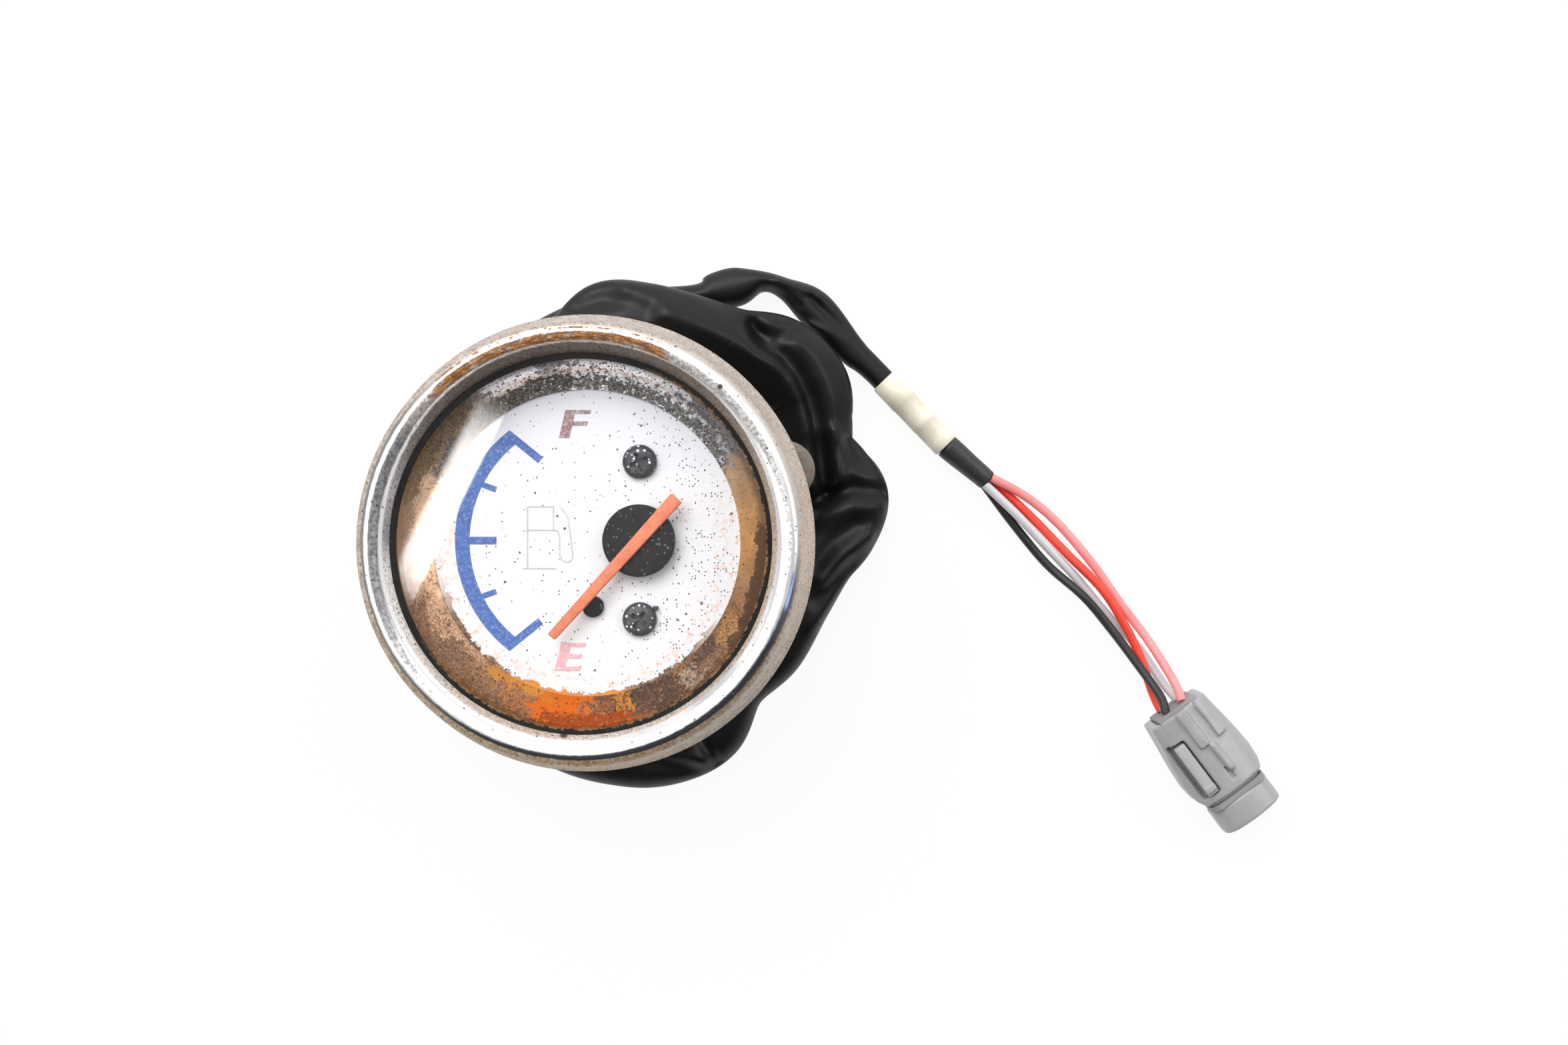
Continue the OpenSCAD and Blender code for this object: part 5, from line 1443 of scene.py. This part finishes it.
@dataclass
class Harness:
    """Sheath, tape, sleeve, wires and rubber boot. The points are the part's own, in millimetres.

    Attributes:
        wound: The sheath round the case, as angle in degrees, radius, height, half width and half height.
        tail: The sheath's free end, as x, y, z, half width and half height.
        tape_from: Start of the tape's line.
        tape_to: Where the tape ends and the sleeve starts.
        sleeve_to: Where the sleeve ends.
        wire_r: Radius of a wire.
        routes: The wires' points, by colour.
        gates: The wires' places in the connector, sideways and up, in half pitches.
        sheath_length: Length of the sheath, in metres. Not used.
        wire_length: Length of a wire, in metres. Not used.
        steps: Steps between two rows of the sheath.
        sides: Sides round the sheath.
        creases: Ridges and creases of the sheath.
        steps_of_tape: The tape's radius, as share of its length and radius.
        tape_inset: How far past its line's start the tape begins.
        shrunk: The sleeve's radius, as share of its length and radius.
        cover_sides: Sides round the tape, the sleeve and the boot.
        wire_sides: Sides round a wire.
        wire_end: Where the wires end, along the connector.
        boot_turn: Direction in which the boot leaves the case, in degrees.
        boot_z: Height of the boot.
        boot_out: Distance of its bend from the gauge's axis.
        boot_neck: The boot before its bend, as distance from the axis and radius.
        boot_ribs: How many ribs it has.
    """

    wound: Sequence[Row] = (
        (191, 37, 24, 5.1, 5.1), (184, 37.2, 23.5, 5.1, 5.1), (173, 37.2, 21.6, 5.2, 5.2),
        (159, 37.2, 19, 5.2, 5.2), (143, 37.2, 17.2, 5.2, 5.2), (127, 37.2, 16.8, 5.2, 5.2),
        (113, 37, 16.8, 5.2, 5.1), (101, 37.2, 16.8, 5, 5), (90, 41, 16.8, 6.4, 5), (79, 41.4, 16.4, 6.6, 5),
        (68, 41.6, 15.2, 7, 5), (57, 42.8, 12.2, 7.4, 4.8), (47, 45.8, 9, 8.9, 4.8),
        (38, 46.7, 6.6, 8.5, 4.8), (30.5, 44, 5.4, 8, 4.8), (23, 42.4, 5.2, 7.4, 4.8),
        (16, 44, 5.2, 7.6, 4.8), (9.8, 45.6, 5.2, 7.8, 4.8), (2, 43.4, 5.2, 7, 4.8), (-6, 40, 5.4, 6.2, 5),
        (-18, 38, 5.6, 5.6, 5.4), (-34, 37.6, 5.6, 5.4, 5.4), (-49, 36.6, 5.6, 5.4, 5.4),
        (-62, 40.6, 5.6, 6.4, 5.4), (-74, 41.4, 5.6, 6.5, 5), (-87, 40.4, 5.6, 6.2, 5.2),
        (-104, 38.8, 5.6, 5.6, 5.4), (-134, 38.2, 5.6, 5.4, 5.4), (-164, 38, 5.6, 5.4, 5.4),
        (-194, 37.8, 5.6, 5.4, 5.4), (-224, 38, 5.4, 5.2, 5), (-254, 40.2, 4.6, 4.2, 4.2),
    )
    tail: Sequence[Row] = (
        (1, 44.4, 4.2, 3, 4), (16, 46.3, 4, 2.4, 3.8), (19.8, 47.5, 3.9, 3.5, 3.7),
        (24.15, 48.4, 3.8, 3.7, 3.6), (28.6, 49.3, 3.6, 2, 3.5), (32.6, 48.2, 3.4, 2, 3.3),
        (38.5, 44.3, 3.2, 3.6, 3), (45.6, 36.4, 2.8, 2.85, 2.6), (50.3, 32.1, 2.8, 2.3, 2.3),
        (63.8, 18.1, 2.8, 2.3, 2.3),
    )
    tape_from: Row = (50.3, 32.1, 2.8)
    tape_to: Row = (63.8, 18.1, 2.8)
    sleeve_to: Row = (71.8, 11.4, 2.1)
    wire_r: float = 0.85
    routes: dict[str, Sequence[Row]] = field(default_factory=lambda: {
        "black": ((71.2, 10.7, 1.2), (77, 3, 0.9), (83.3, -4.6, 1), (90.2, -10.9, 2.8), (95.5, -17.3, 3.2),
                  (100.2, -23.8, 4.6), (103.9, -29.4, 6.4)),
        "white": ((71.2, 10.7, 3), (77.6, 4.6, 2.6), (84.2, -2.2, 1.3), (89.3, -7.6, 0.9), (95, -14.4, 0.9),
                  (100.9, -20.6, 0.9), (105.4, -27.4, 2.3)),
        "red": ((72.4, 12, 1.15), (80.2, 4.6, 0.9), (86.9, -2.4, 1.5), (93.7, -9.5, 2.9), (98.2, -16.8, 3.1),
                (101, -22.8, 3), (103.3, -29.2, 2.6)),
        "pink": ((72.4, 12, 3.05), (79.4, 8.2, 2), (85.7, 3, 0.9), (92.4, -4.9, 0.9), (97.6, -12.4, 1.2),
                 (102.6, -19.4, 2.8), (106.9, -27, 5.2)),
    })
    gates: dict[str, Row] = field(default_factory=lambda: {
        "black": (-1, 1), "white": (1, -1), "red": (-1, -1), "pink": (1, 1),
    })
    sheath_length: float = 0.4
    wire_length: float = 0.0565
    steps: int = 14
    sides: int = 72
    creases: Sequence[Crease] = (
        Crease(
            (
                (26.9, 39.9), (29.2, 36.3), (32.5, 34.3), (35.5, 30.9), (37.5, 26.9), (38.5, 23.3),
                (39.5, 17.9), (40.2, 12.6), (40.9, 9.3)
            ),
            -2.6, 1.7, 1.7, 8, 18
        ),
        Crease(((28.3, 38.6), (31.2, 37.7), (34.5, 38.6)), -1.2, 1.4, 1.4, 8, 12),
        Crease(
            (
                (4.8, 44.7), (8.8, 42.4), (14.1, 40.1), (20.0, 37.9), (26.6, 34.8), (31.2, 32.7),
                (33.9, 31.0), (35.2, 28.4), (36.6, 24.4), (37.7, 21.1)
            ),
            1.5, 2.8, 2.4, 6, 18
        ),
        Crease(((35.2, 37.6), (38.5, 34.6), (40.5, 29.9), (41.9, 24.6), (42.7, 19.3)), 0.7, 1.8, 1.8, 9, 18),
        Crease(((42.3, 20.4), (43.0, 14.7), (43.3, 10.8)), 0.9, 1.3, 1.3, 11, 18),
        Crease(((45.4, 18.5), (48.1, 14.1), (50.0, 10.7)), -1.3, 1.5, 1.5, 12, 16),
        Crease(((39.0, 7.7), (42.8, 9.3), (45.5, 10.1), (48.9, 9.5), (51.8, 9.1)), -1.7, 1.5, 1.9, 14, 18),
        Crease(((39.7, 4.3), (45.5, 6.3), (51.0, 6.7)), 0.8, 1.6, 1.8, 14, 19),
        Crease(((38.7, -4.2), (41.7, -0.3), (46.2, 3.1)), -0.8, 1.5, 1.5, 15, 20),
        Crease(((40.2, -7.5), (44.1, -3.0), (48.8, 0.7)), 1.3, 1.7, 1.5, 15, 21),
        Crease(((38.7, -11.1), (42.8, -6.3), (45.5, -4.2)), -0.7, 1.5, 1.5, 16, 22),
        Crease(((38.7, -15.8), (41.7, -11.7), (44.8, -8.5)), 0.7, 1.8, 1.8, 16, 23),
        Crease(((-4.6, 42.0), (-0.4, 43.6), (4.9, 43.6), (8.2, 42.1)), -1.7, 2.2, 2.0, 4, 10),
        Crease(((20.7, 44.6), (24.0, 42.1), (26.6, 39.5)), -1.0, 1.8, 1.8, 6, 10),
        Crease(((17.2, -36.6), (18.6, -39.0), (20.3, -41.9)), -1.3, 1.1, 1.1, 21, 28),
        Crease(((11.4, -39.4), (14.8, -39.8), (17.9, -41.1)), 0.9, 1.2, 1.2, 21, 28),
        Crease(((7.3, -41.7), (11.4, -42.1), (16.2, -43.1)), -0.6, 1.2, 1.2, 21, 28),
        Crease(((38.0, 46.0), (41.1, 42.7), (44.9, 39.3)), -1.0, 0.9, 0.9, 31, 38),
        Crease(((37.3, 41.0), (41.5, 39.2), (45.6, 36.1), (48.0, 33.5)), 0.7, 0.8, 0.8, 31, 38),
        Crease(((31.8, 49.3), (36.0, 47.9), (39.4, 46.0)), 0.5, 0.9, 0.9, 31, 38),
        Crease(((29.1, 47.9), (33.2, 46.4), (35.6, 44.5)), -0.5, 0.8, 0.8, 31, 38),
    )
    steps_of_tape: Sequence[Row] = (
        (0, 2.4), (0.01, 2.62), (0.2, 2.68), (0.33, 2.7), (0.335, 2.6), (0.6, 2.62), (0.66, 2.66),
        (0.665, 2.58), (0.9, 2.6), (0.985, 2.6), (1, 2.4),
    )
    tape_inset: float = 2.2
    shrunk: Sequence[Row] = (
        (0.005, 2.1), (0.03, 2.38), (0.25, 2.34), (0.5, 2.2), (0.8, 2.08), (0.96, 2.02), (1.0, 1.85),
    )
    cover_sides: int = 40
    wire_sides: int = 20
    wire_end: float = -0.65
    boot_turn: float = 205.0
    boot_z: float = 24.0
    boot_out: float = 37.4
    boot_neck: Sequence[Row] = ((31.6, 5.2), (32.0, 5.25), (32.6, 5.1), (33.2, 4.6), (34.2, 4.75))
    boot_ribs: int = 4

    def sheath_rows(self) -> list[list[float]]:
        """The sheath's stations as x, y, z, half width and half height."""
        around = [
            [r * math.cos(math.radians(a)), r * math.sin(math.radians(a)), z, w, h]
            for a, r, z, w, h in self.wound
        ]
        return around + [list(row) for row in self.tail]

    @staticmethod
    def fold(length: float, turn: float, half_w: float, half_h: float) -> tuple[float, float]:
        """Shape of the creased vinyl round its line.

        Args:
            length: Length so far, in millimetres.
            turn: Angle round the tube, 90 degrees being up.
            half_w: Half width across.
            half_h: Half height.

        Returns:
            The offset across and up.
        """
        c, s = math.cos(turn), math.sin(turn)
        soft = noise.noise((length / 15.0, c * 0.8 + 7.0, s * 0.8))
        reach = 1.0 - 0.05 * max(soft, 0.0) * fade(2.6, 4.0, half_w)
        return half_w * c * reach, half_h * s * reach

    def sheath(self) -> bpy.types.Object:
        """Makes the sheath and presses its creases into it."""
        rows = smooth_rows(self.sheath_rows(), self.steps)
        obj = swept("sheath", rows, self.sides, self.fold)
        self.press(obj, rows)
        return place_piece(obj, "vinyl", "black_vinyl", Body.GAUGE, "harness_sheath")

    def press(self, obj: bpy.types.Object, rows: Sequence[Row]) -> None:
        """Raises ridges and sinks creases in the upper side of the sheath.

        Args:
            obj: The smooth sheath, its vertices ring by ring.
            rows: The rows that its rings stand on.
        """
        for vertex in obj.data.vertices:
            ring = min(vertex.index // self.sides, len(rows) - 1)
            lift = (vertex.co.z / MM - rows[ring][2]) / rows[ring][4]
            weight = fade(0.0, 0.55, lift)
            if weight:
                spot = Vector((vertex.co.x, vertex.co.y)) / MM
                for crease in self.creases:
                    share = crease.reach(ring / self.steps)
                    if share:
                        vertex.co.z += crease.at(spot) * share * weight * MM

    def cover(
        self, name: str, start: Vector, end: Vector, profile: Sequence[Row], per: int,
        swell: Callable[[float, float], float],
    ) -> bpy.types.Object:
        """Makes a round cover along a straight line.

        Args:
            name: The object's name.
            start: Where the line starts, in millimetres.
            end: Where it ends.
            profile: Rows of the share of the line and the radius there.
            per: Steps between two rows.
            swell: Given the length so far and the angle round, returns how much wider the cover is there.

        Returns:
            The cover.
        """
        rows = smooth_rows([[*(start + (end - start) * share), r, r] for share, r in profile], per)
        return swept(
            name, rows, self.cover_sides, lambda n, a, w, h: (w * math.cos(a) * swell(n, a), h * math.sin(a))
        )

    def tape(self) -> bpy.types.Object:
        """Makes the ivory tape, with the steps of its wraps."""
        start, end = Vector(self.tape_from), Vector(self.tape_to)
        start = start + (end - start).normalized() * self.tape_inset
        piece = self.cover("tape", start, end, self.steps_of_tape, 1,
                           lambda n, a: 1 + 0.02 * noise.noise((n / 3.0, math.cos(a), math.sin(a))))
        return place_piece(piece, "tape", "ivory_tape", Body.GAUGE, "marker_tape")

    def sleeve(self) -> bpy.types.Object:
        """Makes the shrunk end sleeve."""
        piece = self.cover("sleeve", Vector(self.tape_to), Vector(self.sleeve_to), self.shrunk, 4,
                           lambda n, a: 1 - 0.05 * abs(noise.noise((n / 1.6, a * 0.8, 4.0))))
        return place_piece(piece, "sleeve", "black_rubber", Body.GAUGE, "end_sleeve")

    def boot(self) -> bpy.types.Object:
        """Makes the ribbed rubber elbow between the case and the sheath."""
        turn, side = math.radians(self.boot_turn), math.radians(self.boot_turn - 100.0)
        outward = Vector((math.cos(turn), math.sin(turn), 0.0))
        way = Vector((math.cos(side), math.sin(side), 0.0))
        base = Vector((0.0, 0.0, self.boot_z))
        middle = outward * self.boot_out + base
        spots = [(outward * out + base, r) for out, r in self.boot_neck]
        spots.append((middle - outward * 1.4 + way * 0.6, 5.2))
        ribs = [
            (5.3 + step + gap, r - step * 0.05)
            for step in range(self.boot_ribs) for gap, r in ((0.0, 5.3), (0.5, 4.9))
        ]
        spots += [(middle + way * along, r) for along, r in ((2.6, 5.3), (4.4, 5.3), *ribs, (9.0, 4.9))]
        rows = smooth_rows([[*spot, r, r] for spot, r in spots], 4)
        piece = swept("boot", rows, self.cover_sides)
        return place_piece(piece, "rubber", "black_rubber", Body.GAUGE, "wire_boot")

    def wire_line(self, color: str, plug: "Connector") -> list[Row]:
        """One wire's route, down to its gate in the connector."""
        across, up = self.gates[color]
        gate = plug.spot(self.wire_end, across * plug.pitch / 2, plug.mid_z + up * plug.pitch / 2)
        return [*self.routes[color], gate]

    def wires(self, plug: "Connector") -> dict[str, bpy.types.Object]:
        """Makes the wires.

        Args:
            plug: The connector that they run into.

        Returns:
            The wires by colour.
        """
        made = {}
        for color in self.routes:
            rows = smooth_rows([[*p, self.wire_r, self.wire_r] for p in self.wire_line(color, plug)], 8)
            obj = swept(color + "_lead", rows, self.wire_sides)
            made[color] = place_piece(obj, color + "_wire", "wire_" + color, Body.GAUGE, "wire_" + color)
        return made

    def declare(
        self, sheath: bpy.types.Object, wires: dict[str, bpy.types.Object], on_sheath: Sequence[object],
        on_wires: Sequence[object], plug: "Connector",
    ) -> None:
        """Args:
            sheath: The sheath. Not used.
            wires: The wires by colour. Not used.
            on_sheath: Pieces that go with the sheath. Not used.
            on_wires: Pieces that go with the wires. Not used.
            plug: The connector at the wires' end. Not used.
        """
        line = [[c * MM for c in row[:3]] for row in self.sheath_rows()]
        del line[1:3]


@dataclass
class Connector:
    """Sealed grey connector, laid on the table. Its own x runs along it from the wires. In millimetres.

    Attributes:
        rear: Where its rear end lies, as x and y.
        turn: Its direction, in degrees.
        mid_z: Height of its middle.
        pitch: Distance between two terminals.
        half_w: Half its width.
        crown: Share by which its top drops at the sides.
        hollow: Two corners of the hollow beside the latch.
        hollow_edge: Radius of the hollow's edges.
        voxel: Size of the cells that run its edges soft.
        smoothing: Rounds of smoothing.
        bar_z: Height of the bars' tops.
        bars: Each bar's name, its two ends as x and y, and its radius.
    """

    rear: Row = (106.7, -32.0)
    turn: float = -53.0
    mid_z: float = 5.2
    pitch: float = 3.8
    half_w: float = 7.5
    crown: float = 0.28
    hollow: Sequence[Row] = ((4.4, -6.0, 8.3), (16.6, -5.2, 12.0))
    hollow_edge: float = 0.38
    voxel: float = 0.22
    smoothing: int = 7
    bar_z: float = 10.9
    bars: Sequence[tuple[str, float, float, float, float, float]] = (
        ("bar_a", 0.2, 3.2, 7.6, 3.9, 0.85), ("bar_b", 0.2, -0.9, 7.6, -0.2, 0.85),
        ("bar_c", 8.0, 0.5, 14.6, 0.9, 0.7),
    )

    def place(self) -> Matrix:
        """Where the connector's own frame lies."""
        spot = Vector((self.rear[0], self.rear[1], 0.0)) * MM
        return Matrix.Translation(spot) @ Matrix.Rotation(math.radians(self.turn), 4, "Z")

    def spot(self, x: float, y: float, z: float) -> list[float]:
        """A point of the connector's own frame in the row frame, both in millimetres."""
        c, s = math.cos(math.radians(self.turn)), math.sin(math.radians(self.turn))
        return [self.rear[0] + x * c - y * s, self.rear[1] + x * s + y * c, z]

    def housing(self) -> bpy.types.Object:
        """Makes the moulded housing: bars and a hollow, edges run soft, and a crowned top.

        Returns:
            The piece.
        """
        housing = Bench.softened("connector_housing", 0.3, 3)
        hollow = Bench.block("hollow", *self.hollow, self.hollow_edge)
        Bench.put(hollow, self.place())
        Bench.cut(housing, hollow)
        bars = []
        for name, x0, y0, x1, y1, radius in self.bars:
            bar = Bench.block(name, (x0, -radius, -radius), (x1, radius, radius), radius * 0.9)
            seat = Matrix.Translation(Vector((0.0, (y0 + y1) / 2, self.bar_z - radius)) * MM)
            Bench.put(bar, self.place() @ seat @ Matrix.Rotation(math.atan2(y1 - y0, x1 - x0), 4, "Z"))
            bars.append(bar)
        housing = Bench.join([housing, *bars])
        Bench.modify(housing, "REMESH", mode="VOXEL", voxel_size=self.voxel * MM)
        Bench.modify(housing, "SMOOTH", factor=0.5, iterations=self.smoothing)
        inward = self.place().inverted()
        for vertex in housing.data.vertices:
            aside = (inward @ vertex.co).y / MM / self.half_w
            vertex.co.z *= 1.0 - self.crown * min(aside * aside, 1.0)
        Bench.smooth(housing)
        return place_piece(housing, "connector", "connector_grey", Body.GAUGE, "connector_housing")

    def build(self) -> list[bpy.types.Object]:
        """Makes the housing, the latch and the seal.

        Returns:
            The pieces.
        """
        return [
            self.housing(),
            rounded("connector_latch", 0.2, 2, "connector", "connector_grey", Body.LATCH),
            rounded("wire_seal", 0.4, 3, "seal", "seal_rubber"),
        ]


# Gauge


def arc(centre: Row, wide: float, tall: float, angles: Sequence[float]) -> list[Row]:
    """Points of an ellipse round a centre, at angles in degrees."""
    x, z = centre
    return [(x + wide * math.cos(math.radians(a)), z + tall * math.sin(math.radians(a))) for a in angles]


@dataclass
class Head:
    """Bezel, glass, trim ring and case, in millimetres.

    Attributes:
        lip_r: Radius of the bezel's inner lip.
        lip_z: Height of the lip.
        crest: Middle of the bezel's crest, as radius and height.
        crest_r: Radius of the crest's outer curve.
        sheet: Thickness of the bezel's sheet.
        flank: The bezel's outer side, from the crest down.
        rear: Its rolled rear edge.
        glass_r: Radius of the glass.
        glass_z: Underside and top of the glass.
        ground: Width of the glass's ground edges.
        dial_top: Height of the dial's face.
        cove: Inner and outer radius of the trim ring's cove.
        cove_sheet: Thickness of the trim ring.
        can: Profile of the case, as radius and height.
    """

    lip_r: float = 30.9
    lip_z: float = 52.9
    crest: Row = (33.9, 54.0)
    crest_r: float = 2.0
    sheet: float = 0.8
    flank: Sequence[Row] = (
        (35.9, 54.0), (36.08, 52.6), (36.3, 51.0), (36.6, 49.4), (36.95, 47.9), (37.35, 46.4), (37.72, 45.3),
    )
    rear: Sequence[Row] = (
        (38.0, 44.7), (38.0, 44.0), (37.85, 43.5), (37.5, 43.2), (36.5, 43.2), (34.2, 43.2), (34.0, 43.4),
        (34.0, 44.0), (37.2, 44.0),
    )
    glass_r: float = 35.0
    glass_z: Row = (50.2, 52.2)
    ground: float = 0.3
    dial_top: float = 43.6
    cove: Row = (25.6, 30.5)
    cove_sheet: float = 0.6
    can: Sequence[Row] = (
        (0.0, 14.0), (29.8, 14.0), (30.6, 14.15), (31.2, 14.6), (31.5, 15.4), (31.5, 24.0), (31.62, 24.4),
        (31.62, 25.6), (31.5, 26.0), (31.5, 43.3), (31.7, 43.8), (32.2, 44.0), (36.6, 44.0), (36.6, 45.0),
        (31.5, 45.0), (30.8, 44.8), (30.5, 44.2), (30.5, 16.0), (30.2, 15.3), (29.4, 15.0), (0.0, 15.0),
    )

    def bezel(self) -> bpy.types.Object:
        """Spins the bezel's pressed sheet."""
        inner = self.crest_r - self.sheet
        rows = [
            (self.lip_r, self.lip_z), (self.lip_r + 0.25, self.lip_z + 0.5),
            *arc(self.crest, self.crest_r, self.crest_r, range(158, 4, -7)), *self.flank, *self.rear,
            *((r - self.sheet, z) for r, z in reversed(self.flank)),
            *arc(self.crest, inner, inner, range(8, 160, 15)), (self.lip_r + self.sheet, self.lip_z),
        ]
        return spun("bezel", rows, 192, 50.0, "bezel", "bezel_metal", "bezel_ring")

    def glass(self) -> bpy.types.Object:
        """Spins the glass, its edges ground."""
        (low, high), r, edge = self.glass_z, self.glass_r, self.ground
        rows = [
            (0.0, low), (r - edge, low), (r, low + edge), (r, high - edge), (r - edge, high), (0.0, high)
        ]
        return spun("glass", rows, 160, 30.0, "glass", "clear_glass", "lens_glass", closed=False)

    def trim_ring(self) -> bpy.types.Object:
        """Spins the cove-shaped trim ring."""
        (inner, outer), sheet, top = self.cove, self.cove_sheet, self.glass_z[0]
        wide, deep = outer - inner, top - self.dial_top
        rows = [
            *arc((inner, top), wide, sheet - deep, range(0, 91, 5)), (inner - 0.05, self.dial_top + 0.3),
            *arc((inner, top), wide + sheet, -deep, range(90, 0, -6)),
            (outer + sheet, top - sheet), (34.4, top - sheet), (34.4, 45.6), (35.0, 45.6), (35.0, top),
        ]
        return spun("trim_ring", rows, 192, 40.0, "cove", "reflector_metal", "reflector_ring")

    def case(self) -> bpy.types.Object:
        """Spins the deep-drawn case, its corners rounded as drawn steel is."""
        return spun("case", self.can, 160, 30.0, "case", "case_steel", "case_can", closed=False)

    def hardware(self) -> None:
        """Rounds the edges of the bracket, washers, nuts and lamp socket."""
        rounded("mounting_bracket", 0.35, 2, "case", "case_steel")
        rounded("stud_washers", 0.2, 2, "steel", "plain_steel")
        rounded("stud_nuts", 0.35, 2, "steel", "plain_steel")
        rounded("lamp_socket", 0.3, 2, "hub", "black_plastic")


@dataclass
class Face:
    """Screws and peg on the dial, and the needle with its hub, in millimetres.

    Attributes:
        pivot: Where the needle turns, as x and y.
        reach: Distance of the screws from the pivot.
        dial_top: Height of the dial's face.
        head_r: Radius of a screw's head.
        head_t: Height of a screw's head.
        cross: Half length and half width of the cross recess.
        nub: Two corners of the small nub at the lower screw's edge.
        peg_at: Where the peg stands, as x and y.
        hub_z: Height of the hub cap's rim.
        needle_z: Height of the needle's underside.
        needle_turn: Direction of the resting needle, in degrees.
        outline: Corners of the needle, from the pivot.
    """

    pivot: Row = (8.8, 0.4)
    reach: float = 13.1
    dial_top: float = 43.6
    head_r: float = 2.85
    head_t: float = 1.8
    cross: Row = (1.55, 0.36)
    nub: Sequence[Row] = ((11.0, -11.2, 43.9), (11.9, -10.5, 44.6))
    peg_at: Row = (1.05, -10.6)
    hub_z: float = 44.8
    needle_z: float = 46.8
    needle_turn: float = 228.0
    outline: Sequence[Row] = ((-9.5, -1.175), (21.3, -0.775), (21.3, 0.775), (-9.5, 1.175))

    def screw(self, name: str, turn: float) -> bpy.types.Object:
        """Makes one pan screw with a cross recess, its seat at the origin.

        Args:
            name: The object's name.
            turn: Turn of the cross, in degrees.

        Returns:
            The screw.
        """
        r, t = self.head_r, self.head_t
        rows = [
            (0.0, -7.0), (1.0, -7.0), (1.25, -6.7), (1.25, 0.0), (r - 0.15, 0.0), (r, 0.15), (r, t * 0.4),
            (r * 0.95, t * 0.68), (r * 0.83, t * 0.87), (r * 0.62, t * 0.98), (r * 0.4, t), (0.0, t),
        ]
        obj = Bench.turned(name, rows, 64, closed=False)
        long, thin = self.cross
        cutters = []
        for quarter in (0.0, 90.0):
            arm = Bench.block("arm", (-long, -thin, t * 0.42), (long, thin, t * 1.6), 0.06)
            Bench.put(arm, Matrix.Rotation(math.radians(quarter + turn), 4, "Z"))
            cutters.append(arm)
        Bench.cut(obj, *cutters)
        return obj

    def screws(self) -> bpy.types.Object:
        """Makes both dial screws."""
        made = []
        for name, side, turn in (("upper", 1, 22.0), ("lower", -1, -34.0)):
            obj = self.screw(name, turn)
            spot = Vector((self.pivot[0], self.pivot[1] + side * self.reach, self.dial_top)) * MM
            Bench.put(obj, Matrix.Translation(spot))
            made.append(obj)
        obj = Bench.join([*made, Bench.block("nub", *self.nub, 0.15)])
        obj.name = "pan_screws"
        Bench.smooth(obj)
        return place_piece(obj, "screw", "black_metal", Body.GAUGE, "dial_screws")

    def peg(self) -> bpy.types.Object:
        """Spins the small peg."""
        z = self.dial_top
        rows = [(0.0, z), (1.77, z), (1.77, z + 1.0), (1.65, z + 1.25), (1.35, z + 1.4), (0.0, z + 1.4)]
        return spun(
            "peg", rows, 48, 50.0, "hub", "black_plastic", "dial_peg", centre=self.peg_at, closed=False
        )

    def hub(self) -> bpy.types.Object:
        """Spins the hub cap."""
        z = self.hub_z
        rows = [
            (0.8, z - 0.8), (2.0, z - 0.8), (2.0, z), (5.8, z), (6.0, z + 0.2), (6.0, z + 1.6),
            (5.93, z + 1.82),
            (5.72, z + 1.95), (5.4, z + 2.0), (0.0, z + 2.0), (0.0, z + 1.2), (0.8, z + 1.2),
        ]
        return spun("hub", rows, 128, 40.0, "hub", "black_plastic", "hub_cap", Body.ROTOR, centre=self.pivot)

    def needle(self) -> bpy.types.Object:
        """Makes the tapered needle, with rounded long edges."""
        obj = Bench.slab("pointer", self.outline, self.needle_z, self.needle_z + 1.0)
        Bench.modify(obj, "BEVEL", width=0.28 * MM, segments=4)
        spot = Vector((self.pivot[0], self.pivot[1], 0.0)) * MM
        Bench.put(obj, Matrix.Translation(spot) @ Matrix.Rotation(math.radians(self.needle_turn), 4, "Z"))
        Bench.smooth(obj, 60.0)
        return place_piece(obj, "needle", "needle_orange", Body.ROTOR, "needle")


def main() -> None:
    """Builds the studio and every piece."""
    logging.basicConfig(level=logging.INFO, format="%(message)s")
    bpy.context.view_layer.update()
    Studio().build()
    harness, plug = Harness(), Connector()
    sheath = harness.sheath()
    on_sheath = [harness.tape(), harness.sleeve(), harness.boot()]
    wires = harness.wires(plug)
    on_wires = [*plug.build(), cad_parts["connector_terminals"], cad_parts["nose_seal"]]
    harness.declare(sheath, wires, on_sheath, on_wires, plug)
    head, face = Head(), Face()
    for make in (head.bezel, head.glass, head.trim_ring, head.case, head.hardware):
        make()
    for make in (face.screws, face.peg, face.hub, face.needle):
        make()
    for key, nodes in NODE_FINISHES.items():
        for node in nodes:
            dress(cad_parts[node], key)
    bpy.context.view_layer.update()


if __name__ == "__main__":
    main()
